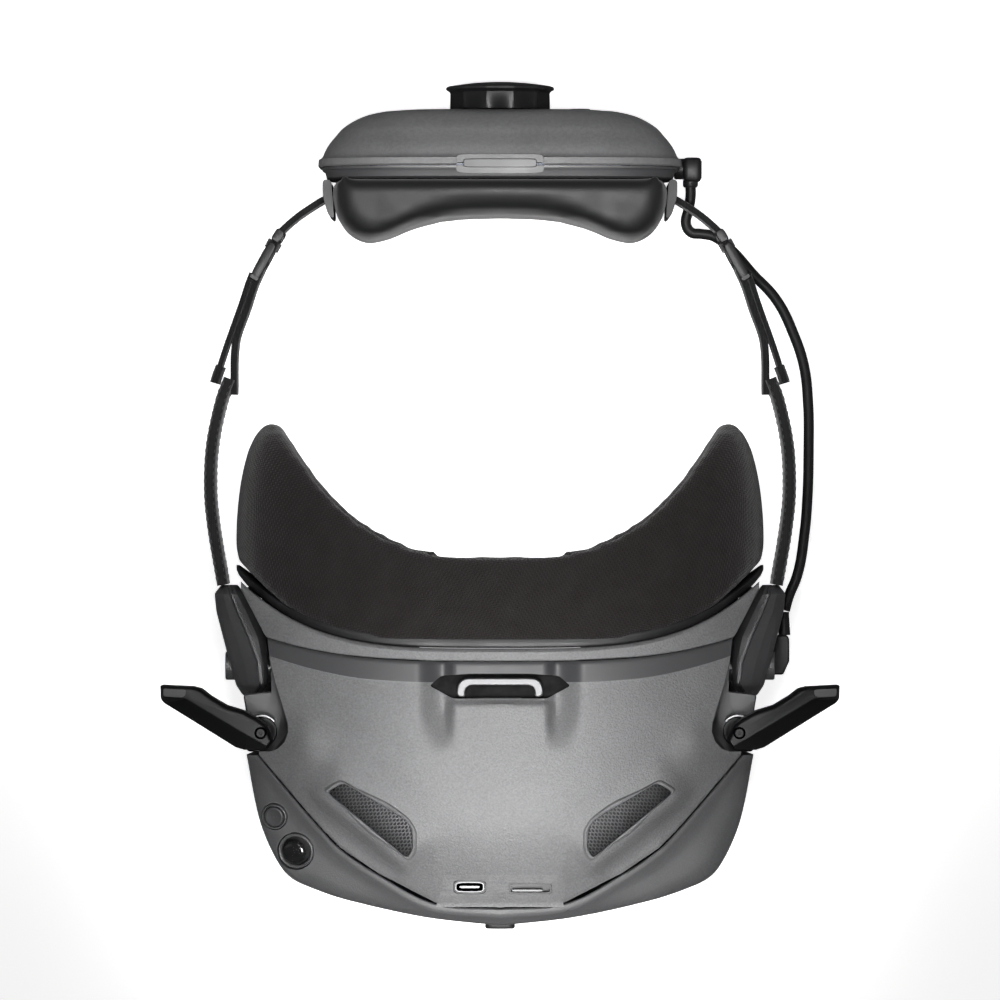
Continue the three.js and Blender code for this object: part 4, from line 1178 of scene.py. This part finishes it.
def face_ring(half_width, half_height, curve, offset, count):
    """One loop round the face opening, which climbs over the nose."""
    ring = []
    for x, z in rounded_box(half_width, half_height, 3.2, count):
        over_nose = NOSE_RISE * math.exp(-((x / NOSE_SPREAD) ** 2)) * (1 - smooth(z, -30, 0))
        ring.append((x, curve(x) + offset, EYE_Z + z + over_nose))
    return ring


def turned_inside_out(loops):
    """Sections of a loop of rings, one section for each point round it."""
    return [[loop[k] for loop in loops] for k in range(len(loops[0]))]


def make_face_frame():
    sizes = (
        (79.5, 45.2, 0), (81.2, 45.8, 0.5), (81.8, 46, 1.3), (81.8, 46, 2.6), (81.4, 45.8, 3),
        (60.5, 31.4, 3), (60, 31, 2.6), (60, 31, 0),
    )
    loops = [face_ring(w, h, frame_y, offset, 180) for w, h, offset in sizes]
    frame_piece = loft("face_rim", turned_inside_out(loops), closed=True)
    place(frame_piece, "visor", black, ["face_frame"], sharp=35)


def pad_front(x):
    """The pad's front edge covers the face frame over the brow and bares it at the temples."""
    return frame_y(x) + mix(0.3, 3.5, smooth(abs(x), 62, 80))


def pad_back(half):
    """The plan curve against the face, stretched to another half width."""
    return lambda x: face_y(min(FACE_HALF, abs(x) * FACE_HALF / half))


def pad_between(half, share):
    """A plan curve part of the way from the face frame to the face."""
    return lambda x: mix(frame_y(x), pad_back(half)(x), share)


def puff(obj, voxel, pressure, cap, is_held):
    """Swells a closed soft form with a short cloth simulation; no point moves more than cap mm."""
    remesh = obj.modifiers.new("remesh", "REMESH")
    remesh.mode = "VOXEL"
    remesh.voxel_size = voxel * MM
    settle(obj)
    start = [v.co.copy() for v in obj.data.vertices]
    held = obj.vertex_groups.new(name="held")
    held.add([v.index for v in obj.data.vertices if is_held(v.co / MM)], 1.0, "REPLACE")
    cloth_modifier = obj.modifiers.new("cloth", "CLOTH")
    settings = cloth_modifier.settings
    settings.vertex_group_mass = "held"
    settings.use_pressure = True
    settings.uniform_pressure_force = pressure
    settings.effector_weights.gravity = 0
    settings.tension_stiffness = 20
    settings.compression_stiffness = 20
    settings.bending_stiffness = 2
    cloth_modifier.point_cache.frame_start = 1
    cloth_modifier.point_cache.frame_end = PUFF_FRAMES
    for number in range(1, PUFF_FRAMES + 1):
        bpy.context.scene.frame_set(number)
    settle(obj)
    for vertex, origin in zip(obj.data.vertices, start):
        moved = vertex.co - origin
        if moved.length > cap * MM:
            vertex.co = origin + moved * (cap * MM / moved.length)
    bpy.context.scene.frame_set(1)
    return subdivide(obj, 1)


def make_face_pad():
    """The knitted cushion round the face opening."""
    rings = (
        (81.6, 46.8, pad_front, 0), (82, 47, pad_front, 2.5), (82, 47, pad_between(81.6, 0.3), 2),
        (80.8, 46.8, pad_between(80.4, 0.62), 0),
        (78.4, 46, pad_back(78.4), -8), (75.4, 44.6, pad_back(75.2), -1.8), (70.4, 42, pad_back(70.4), 1.6),
        (66.4, 39, pad_back(67.6), 0.2), (64.2, 36.2, pad_back(68.5), -3.6),
        (62.2, 33.2, pad_between(FACE_HALF, 0.5), 0), (60.6, 31.6, frame_y, 3.5),
    )
    loops = [face_ring(w, h, curve, offset, 96) for w, h, curve, offset in rings]
    pad = loft("face_cushion", turned_inside_out(loops), closed=True)
    subdivide(pad, 1)
    settle(pad)
    puff(pad, 2.6, 3, 0.9, lambda p: p.y < frame_y(p.x) + 6)
    settle(pad)
    place(pad, "visor", knit, ["face_pad"])


make_face_frame()
make_face_pad()


# ---- Antennas ---------------------------------------------------------------

ANTENNA_HINGE = (73.4, -70.9)
PADDLE_LOW = 72
PADDLE_HIGH = 89
PADDLE_OUTLINE = [      # plan outline, with the matching point on the top face
    ((69.9, -73.6), (70.5, -73.3)), ((71.9, -68.4), (72.4, -69.1)), ((74.6, -66.4), (74.9, -67.2)),
    ((78.7, -64.2), (79, -65)), ((84, -62.6), (84.3, -63.4)), ((89, -59.6), (89.2, -60.3)),
    ((91.8, -57.4), (92.2, -58.1)), ((94.2, -56.8), (94.4, -57.4)), ((104.2, -56.3), (103.6, -57)),
    ((104.2, -60.5), (103.4, -59.9)), ((103.2, -61.8), (96.4, -60.5)), ((81.2, -75.4), (80.6, -69.9)),
    ((78.6, -76.2), (77.2, -71.9)), ((72.2, -76.2), (71.6, -75)),
]


def make_antenna(side, name):
    """A flat paddle standing on edge, with a ridge along its top and a lighter plate on its tip as a painted
    highlight.
    """
    middle = Vector((84, -66.4))

    def ring(shrink, z):
        points = []
        for outer, _ in PADDLE_OUTLINE:
            away = Vector(outer) - middle
            x, y = middle + away * (1 - shrink / away.length)
            points.append((side * x, y, z))
        return points

    low_edge = [
        (side * x, y, PADDLE_HIGH - (5 if k >= 9 else 1.2)) for k, ((x, y), _) in enumerate(PADDLE_OUTLINE)
    ]
    top = [(side * x, y, PADDLE_HIGH) for _, (x, y) in PADDLE_OUTLINE]
    paddle = loft("paddle", [ring(0.9, PADDLE_LOW), ring(0, PADDLE_LOW + 0.9), low_edge, top])
    soften(paddle, 0.35, 3, 20)
    settle(paddle)
    x, y = ANTENNA_HINGE
    hinge_hole = [(0, 60), (1.9, 60), (1.9, 100), (0, 100)]
    carve(paddle, turned("hinge_cut", hinge_hole, (0, 0, 1), (side * x, y, 0), 40))
    paddle.name = f"antenna_paddle_{name}"
    place(paddle, f"antenna_{name}", antenna_black, [f"antenna_{name}"], sharp=16)
    # The lighter plate on the tip is a painted highlight.
    tip = [(103.3, -57.2), (103.2, -59.7), (97.6, -60), (96.4, -59.3), (96.2, -57.9), (96.8, -57.5)]
    highlight_plan = sided(side, dense_corners(tip, 0.8))
    plate = prism(f"antenna_tip_{name}", highlight_plan, PADDLE_HIGH - 0.3, PADDLE_HIGH + 0.22)
    place(soften(plate, 0.12, 2), f"antenna_{name}", satin_grey, sharp=40)


def make_antenna_hinge(side, name):
    """The hinge's base and pin in one, and the bright clasp round its rear."""
    x, y = ANTENNA_HINGE
    profile = [
        (0, 70.06), (4.6, 70.06), (4.6, 71), (4.3, 71.35), (3.4, 71.4), (3.1, 71.2), (1.5, 71.2), (1.5, 88.4),
        (1.2, 88.9), (0.5, 88.9), (0.4, 88.6), (0, 88.6),
    ]
    hinge = turned(f"antenna_pin_{name}", profile, (0, 0, 1), (side * x, y, 0), 64)
    place(hinge, "visor", black, [f"antenna_hinge_{name}"], sharp=40)
    arc = []
    for k in range(19):
        angle = math.radians(40 + 130 * k / 18)
        c, s = math.cos(angle), math.sin(angle)
        arc.append([
            (side * (x - r * c), y + r * s, z)
            for r, z in ((4.7, 71.6), (5.5, 71.6), (5.6, 73.2), (5.2, 75.2), (4.8, 75.2), (4.7, 73.2))
        ])
    clasp = loft(f"hinge_clasp_{name}", arc)
    place(clasp, "visor", aluminium, sharp=30)


# ---- Arms -------------------------------------------------------------------

ARM_STATIONS = [      # y, outer x, crease x, inner x, low z, high z
    (-59.8, 80.3, 76, 74.2, 42.6, 57.4), (-57, 82, 73.8, 72.2, 39.5, 60.9), (-50, 84, 74.5, 72, 38, 62),
    (-42, 86.1, 77.4, 72.2, 38.5, 61.5), (-34, 88.2, 81, 75.9, 40, 60), (-28.5, 88.8, 83.2, 79.8, 41, 59),
    (-26.2, 87, 83.8, 81.4, 43, 57),
]
PIVOT = (-52, 50)


def arm_section(side, y):
    """The arm's outline at one y, with a groove along its crease."""
    columns = [[(station[0], station[k]) for station in ARM_STATIONS] for k in range(1, 6)]
    outer, crease, inner, low, high = [linear(column, y) for column in columns]
    half_gap = min(0.55, (crease - inner) * 0.3)
    outline = [
        (outer, low + 6), (outer, high - 7.5), (outer - 0.4, high - 5.6), (outer - 1.4, high - 4),
        (mix(outer, crease, 0.5), high - 1.7), (crease + half_gap + 0.5, high - 0.3),
        (crease + half_gap, high - 0.6), (crease + half_gap - 0.1, high - 2.4),
        (crease - half_gap + 0.1, high - 2.4), (crease - half_gap, high - 0.7),
        (mix(crease, inner, 0.45), high - 0.9), (inner + 0.35, high - 2.4), (inner, high - 3.2),
        (inner, low + 3.6), (inner + 0.35, low + 2.7), (crease - 0.4, low + 0.3), (crease + 0.5, low + 0.2),
        (outer - 1.4, low + 3.6), (outer - 0.4, low + 4.8),
    ]
    return [(side * x, y, z) for x, z in outline]


def make_arm(side, name):
    """The arm that joins the headband to the visor, and the cap over its pivot."""
    places = steps(ARM_STATIONS[0][0], ARM_STATIONS[-1][0], 40)
    sections = [arm_section(side, y) for y in places]

    def closing(section, y, share):
        middle = sum((Vector(p) for p in section), Vector()) / len(section)
        return [tuple(Vector((p[0], y, p[2])).lerp(Vector((middle.x, y, middle.z)), share)) for p in section]

    sections.insert(0, closing(sections[0], places[0] - 0.45, 0.16))
    sections.append(closing(sections[-1], places[-1] + 0.35, 0.14))
    arm = loft(f"arm_shell_{name}", sections)
    y, z = PIVOT
    pivot_hole = [(0, 60), (4.35, 60), (4.35, 78.8), (0, 78.8)]
    carve(arm, turned("pivot_cut", pivot_hole, (side, 0, 0), (0, y, z), 48))
    place(arm, "headband", smooth_grey, [f"arm_{name}"], sharp=14)
    cap_profile = [(0, 82.6), (4.4, 82.6), (4.4, 85.1), (4.1, 85.4), (3.4, 85.4), (3.2, 85.1), (0, 85.1)]
    cap = turned(f"arm_cap_{name}", cap_profile, (side, 0, 0), (0, y + 1, z), 64)
    place(cap, "headband", dark_grey, sharp=35)


for antenna_side, antenna_name in SIDES:
    make_antenna(antenna_side, antenna_name)
    make_antenna_hinge(antenna_side, antenna_name)
    make_arm(antenna_side, antenna_name)


# ---- Bands, webbing and buckles ---------------------------------------------

BAND_ROUTE = [(86, -25.8), (89.1, -7.8), (90.2, 4), (89.6, 18), (86.8, 31.6), (84.3, 38.4)]
WEBBING_ROUTE = [(86.9, 39.6), (83.4, 50), (79.8, 61), (77.5, 68.2)]
STRAP_ROUTE = [(68.4, 84.6), (63, 89.4), (56.4, 93.8)]
STITCH_PITCH = 2.3
STITCH_LENGTH = 1.25


def band_z(y):
    """Height of the headband's centre line, which falls from the hinges to the battery."""
    return mix(PIVOT[1], PACK_Z, min(1, max(0, (y + 28) / 118)))


def smooth_route(route, spacing):
    """Places along a plan route at even spacing: (x, y, direction)."""
    distances = [0]
    for a, b in zip(route, route[1:]):
        distances.append(distances[-1] + (Vector(b) - Vector(a)).length)
    stations = [(d, *p) for d, p in zip(distances, route)]
    count = max(2, round(distances[-1] / spacing))
    points = [Vector(through(stations, d)) for d in steps(0, distances[-1], count)]
    placed = []
    for i, p in enumerate(points):
        direction = (points[min(i + 1, count)] - points[max(i - 1, 0)]).normalized()
        placed.append((p, direction))
    return placed


def ribbon(name, side, route, thickness, height, shift=0.0, spacing=1.2, power=5):
    """A flat strap standing on edge along a plan route."""
    rings = []
    for p, direction in smooth_route(route, spacing):
        outward = Vector((direction.y, -direction.x))
        ring = []
        for across, up in rounded_box(thickness / 2, height / 2, power, 36):
            spot = p + outward * (across + shift)
            ring.append((side * spot.x, spot.y, band_z(spot.y) + up))
        rings.append(ring)
    return loft(name, rings)


def stitches(side, route, across, up):
    """A row of thread stitches on the strap, at an offset across it and above its centre line."""
    dashes = []
    for p, direction in smooth_route(route, STITCH_PITCH)[1:-1]:
        outward = Vector((direction.y, -direction.x))
        rings = []
        for along, radius in ((-0.5, 0.05), (-0.35, 0.11), (0, 0.14), (0.35, 0.11), (0.5, 0.05)):
            spot = p + outward * across + direction * along * STITCH_LENGTH
            z = band_z(spot.y) + up
            flat = [(math.cos(math.pi * k / 3), math.sin(math.pi * k / 3)) for k in range(6)]
            rings.append([
                (side * (spot.x + outward.x * radius * c), spot.y + outward.y * radius * c, z + radius * s)
                for c, s in flat
            ])
        dashes.append(loft("stitch", rings))
    return dashes


def make_band(side, name):
    """The fabric band behind an arm, with its rows of stitches."""
    band = ribbon(f"head_band_{name}", side, BAND_ROUTE, 3.8, 20)
    place(band, "headband", band_cloth, [f"band_{name}"], sharp=50)
    rows = []
    for across in (-1.15, 1.15):
        rows += stitches(side, BAND_ROUTE, across, 9.95)
        rows += stitches(side, BAND_ROUTE, across, -9.95)
    for across in (-1.8, 1.8):
        for up in (-7.6, 7.6):
            rows += stitches(side, BAND_ROUTE, across, up)
    place(merge(f"band_stitches_{name}", rows), "headband", thread)


def make_webbing(side, name):
    """The webbing: an inner run up to the buckle, and a loose tail back outside it, folded at its end."""
    inner_route = [(83.9, 33.5), *WEBBING_ROUTE[1:], (75.2, 73.4)]
    inner = ribbon("inner", side, inner_route, 2.3, 16, shift=-0.95, spacing=1.5, power=7)
    tail_route = [(87.6, 37.6), (84.2, 48.4), *WEBBING_ROUTE[2:], (76.4, 71)]
    tail = ribbon("tail", side, tail_route, 1.8, 15.4, shift=1.15, spacing=1.5, power=7)
    fold_route = [(87.9, 36.7), (87.2, 39), (86.1, 42)]
    fold = ribbon("fold", side, fold_route, 3.2, 15.6, shift=1.15, spacing=0.6, power=3.2)
    whole = merge(f"webbing_strap_{name}", [inner, tail, fold])
    place(whole, "headband", webbing_cloth, [f"webbing_{name}"], sharp=50)


def bar(side, start, end, low_up, high_up, thickness):
    """A rounded bar of a buckle, between two plan points and two heights above the strap's centre."""
    rings = []
    direction = (Vector(end) - Vector(start)).normalized()
    outward = Vector((direction.y, -direction.x))
    half_length = (Vector(end) - Vector(start)).length / 2
    middle = (Vector(start) + Vector(end)) / 2
    for share, shrink in ((0, 0.35), (0.04, 0.1), (0.12, 0), (0.88, 0), (0.96, 0.1), (1, 0.35)):
        up = mix(low_up, high_up, share)
        ring = []
        for along, across in rounded_box(half_length - shrink, thickness / 2 - shrink, 4, 24):
            spot = middle + direction * along + outward * across
            ring.append((side * spot.x, spot.y, band_z(middle.y) + up))
        rings.append(ring)
    return loft("bar", rings)


def make_buckle(side, name):
    """A ladder-lock buckle with its windows and the wrapped strap."""
    front, rear = Vector((77.1, 69.2)), Vector((70.7, 80.9))
    at = lambda share: tuple(front.lerp(rear, share))
    bars = [bar(side, at(0), at(0.14), -10, 10, 3.4), bar(side, at(0.42), at(0.56), -10, 10, 2.6),
            bar(side, at(0.86), at(1), -10, 10, 3)]
    for low in (-10.5, 8.1):
        bars.append(bar(side, at(0.01), at(0.99), low, low + 2.4, 3.1))
    buckle = merge(f"buckle_frame_{name}", bars)
    place(buckle, "headband", black, [f"buckle_{name}"], sharp=40)
    wrap = ribbon("wrap", side, [at(0.1), at(0.5), at(0.93)], 1.3, 15.6, shift=0.2, spacing=1, power=4)
    loop = ribbon("loop", side, [at(0.84), at(1.05)], 4.6, 15.4, spacing=0.6, power=2.4)
    place(merge(f"buckle_webbing_{name}", [wrap, loop]), "headband", webbing_cloth, sharp=50)


def make_slider(side, name):
    """The three-bar slider next to the battery, with the strap threaded through it."""
    front, rear = Vector((70.4, 81.3)), Vector((68.2, 84.9))
    pieces = [bar(side, tuple(front), tuple(front.lerp(rear, 0.3)), -9.8, 9.8, 2.6),
              bar(side, tuple(front.lerp(rear, 0.7)), tuple(rear), -9.8, 9.8, 2.6)]
    for low in (-10, 8):
        pieces.append(bar(side, tuple(front), tuple(rear), low, low + 2, 3))
    slider = merge(f"slider_frame_{name}", pieces)
    place(slider, "headband", black, [f"slider_{name}"], sharp=40)


def make_strap(side, name):
    """The strap into the battery pack, and the plate it enters through."""
    route = [(69.6, 82.6), *STRAP_ROUTE, (54.9, 94.6)]
    strap = ribbon(f"pack_strap_{name}", side, route, 2.2, 15, spacing=1.2, power=7)
    place(strap, "headband", webbing_cloth, [f"strap_{name}"], sharp=50)
    outline = [(55.3, 100.4), (55.2, 95), (53.5, 89.3), (51.7, 87.9), (51.9, 93), (52.6, 100.4)]
    plate = prism(f"outlet_plate_{name}", sided(side, dense_corners(outline, 1.5)), PACK_Z - 17, PACK_Z + 17)
    opening = sided(side, [(49, 91.4), (60, 91.4), (60, 97), (49, 97)])
    carve(plate, prism("opening", opening, PACK_Z - 8.5, PACK_Z + 8.5))
    place(soften(plate, 0.4, 3), "headband", black, [f"strap_outlet_{name}"], sharp=40)


for band_side, band_name in SIDES:
    make_band(band_side, band_name)
    make_webbing(band_side, band_name)
    make_buckle(band_side, band_name)
    make_slider(band_side, band_name)
    make_strap(band_side, band_name)


# ---- Battery pack -----------------------------------------------------------

PACK_STATIONS = [      # y, half width, half height
    (RIM_Y, PACK_HALF, PACK_HALF_HEIGHT), (106.2, 56.6, 30.6), (107.7, 56, 30.2), (111, 54.4, 29.4),
    (114.2, 51.9, 28.1), (117.2, 49, 26.8), (120.2, 43.6, 24), (121.6, 38.5, 21.4), (122.2, 34, 19),
    (PACK_REAR, 30, 17),
]


def pack_ring(half_width, half_height, y):
    return [(x, y, PACK_Z + z) for x, z in rounded_box(half_width, half_height, 4, 120)]


def latch_recess():
    """The pocket for the latch, across the rim on top of the pack."""
    return tube("recess", 13.6, 3, (0, RIM_Y + 0.4), PACK_TOP - 2.6, PACK_TOP + 3, 8)


def make_battery_shell():
    """The rear shell of the pack, from its rim to its flat rear face, and its latch."""
    rim = ((3, 3, 1), (0.5, 0.5, 0), (0, 0, 0.5), (0.1, 0.1, 2.4), (0.9, 0.8, 2.8))
    rings = [pack_ring(PACK_HALF - a, PACK_HALF_HEIGHT - b, RIM_Y + along) for a, b, along in rim]
    for y in steps(RIM_Y + 3.4, PACK_REAR - 0.02, 26):
        half_width, half_height = through(PACK_STATIONS, y)
        rings.append(pack_ring(half_width - 0.5, half_height - 0.4, y))
    rings.append(pack_ring(29, 16.4, PACK_REAR))
    shell = loft("pack_shell", rings)
    holes = []
    for radius, x, segments in ((15, 0, 64), (4, 25, 48)):
        profile = [(0, 118), (radius, 118), (radius, 130), (0, 130)]
        holes.append(turned("hole", profile, (0, 1, 0), (x, 0, PACK_Z), segments))
    carve(shell, latch_recess(), *holes)
    place(shell, "headband", leather_grey, ["battery_shell"], sharp=35)
    latch = tube("pack_latch", 11.3, 1.3, (0, RIM_Y + 0.6), PACK_TOP - 2.4, PACK_TOP - 0.5, 8)
    place(soften(latch, 0.45, 3), "headband", dark_grey, sharp=40)


def make_battery_band():
    """The band between the shell and the cushion."""
    low_y = band_low.y
    rings = [
        pack_ring(53.4, 28.6, low_y), pack_ring(54.2, 29.4, low_y + 0.5), pack_ring(54.6, 29.8, low_y + 2),
        pack_ring(54.8, 30, low_y + 2.6), pack_ring(55.6, 30.2, low_y + 3),
        pack_ring(55.6, 30.2, RIM_Y - 0.15),
    ]
    band = loft("pack_band", rings)
    carve(band, latch_recess())
    place(band, "headband", dark_grey, ["battery_band"], sharp=35)


# The cushion's edge against the head: x, y.
LOBES = [
    (0, 89.8), (14.6, 89.2), (26.4, 86.7), (36, 82.7), (41.5, 81.5), (46.2, 83.2), (50, 88.6), (51.3, 95),
]


def make_battery_pad():
    """The cushion against the back of the head: two lobes and a hollow between them."""
    outline = [(x, through(LOBES, x)[0]) for x in steps(0, 46.2, 30)]
    outline += [(48.9, 85.4), (50.7, 88.6), (51.7, 92), (52.1, 96), (52.2, 100.2)]
    whole = [(-x, y) for x, y in outline[:0:-1]] + outline

    def ring(inset, z):
        near = [(x * (1 - inset / 55), y + inset) for x, y in whole]
        far = [(x, 100.3) for x, _ in reversed(near)]
        return [(x, y, PACK_Z + z) for x, y in near + far]

    sections = [(5, -28.4), (3, -27.8), (1.4, -26.2), (0.4, -23.5), (0, -19), (0, 0)]
    sections += [(inset, -z) for inset, z in reversed(sections[:-1])]
    pad = strip_loft("pack_cushion", [ring(inset, z) for inset, z in sections])
    puff(pad, 2.4, 2, 0.5, lambda p: p.y > 97)
    settle(pad)
    place(pad, "headband", soft_skin, ["battery_pad"])


def make_pad_crease():
    """The seam where the softer middle of the cushion meets its lobes."""
    arc = [(x, 91.3 + 2.1 * math.cos(math.pi * x / 38)) for x in steps(-18, 18, 24)]
    seam = route_curve("pad_seam", [(x, y, PACK_Z + 22 + 0.7 * (y - 90)) for x, y in arc], 0.3)
    place(seam, "headband", black)


def make_knob():
    """The scalloped tension knob with its flared rim and domed end."""
    start = knob_low.y
    stations = [        # y, radius, depth of the scallops
        (start, 15.9, 0), (start + 0.4, 16.2, 0.6), (128, 16.1, 0.75), (128.6, 16.5, 0.5), (129, 17.1, 0.25),
        (129.5, 17.2, 0.2), (129.9, 16.9, 0.2), (130.2, 15.8, 0.3), (130.6, 13, 0.1), (131.1, 9, 0),
        (131.4, 5, 0), (knob_high.y, 1.5, 0),
    ]
    sections = []
    for y, radius, depth in stations:
        ring = []
        for k in range(144):
            angle = 2 * math.pi * k / 144
            reach = radius - depth * abs(math.cos(6 * angle)) ** 0.7
            ring.append((reach * math.cos(angle), y, PACK_Z + reach * math.sin(angle)))
        sections.append(ring)
    knob = loft("ratchet_knob", sections)
    place(knob, "knob", black, ["tension_knob"], sharp=35)


make_battery_shell()
make_battery_band()
make_battery_pad()
make_pad_crease()
make_knob()


# ---- CAD nodes that stay, with their finishes -------------------------------

KEPT = {
    "mid_shell": shell_grey, "nose_bridge": black, "lens_panel": black, "optics_hood": black,
    "display": display_glass, "main_board": circuit_green, "heat_spreader": aluminium,
    "fan_housing": black, "fan_rotor": dark_grey, "lens_left": lens_glass, "lens_right": lens_glass,
    "joystick_switch": black, "joystick_gimbal": black,
    "arm_pivot_left": aluminium, "arm_pivot_right": aluminium,
    "cell_pack": cell_wrap, "power_button": dark_grey, "ratchet_shaft": black,
}


def finish_kept_nodes():
    for node, material in KEPT.items():
        finish(bpy.data.objects[node], material, 28)


finish_kept_nodes()
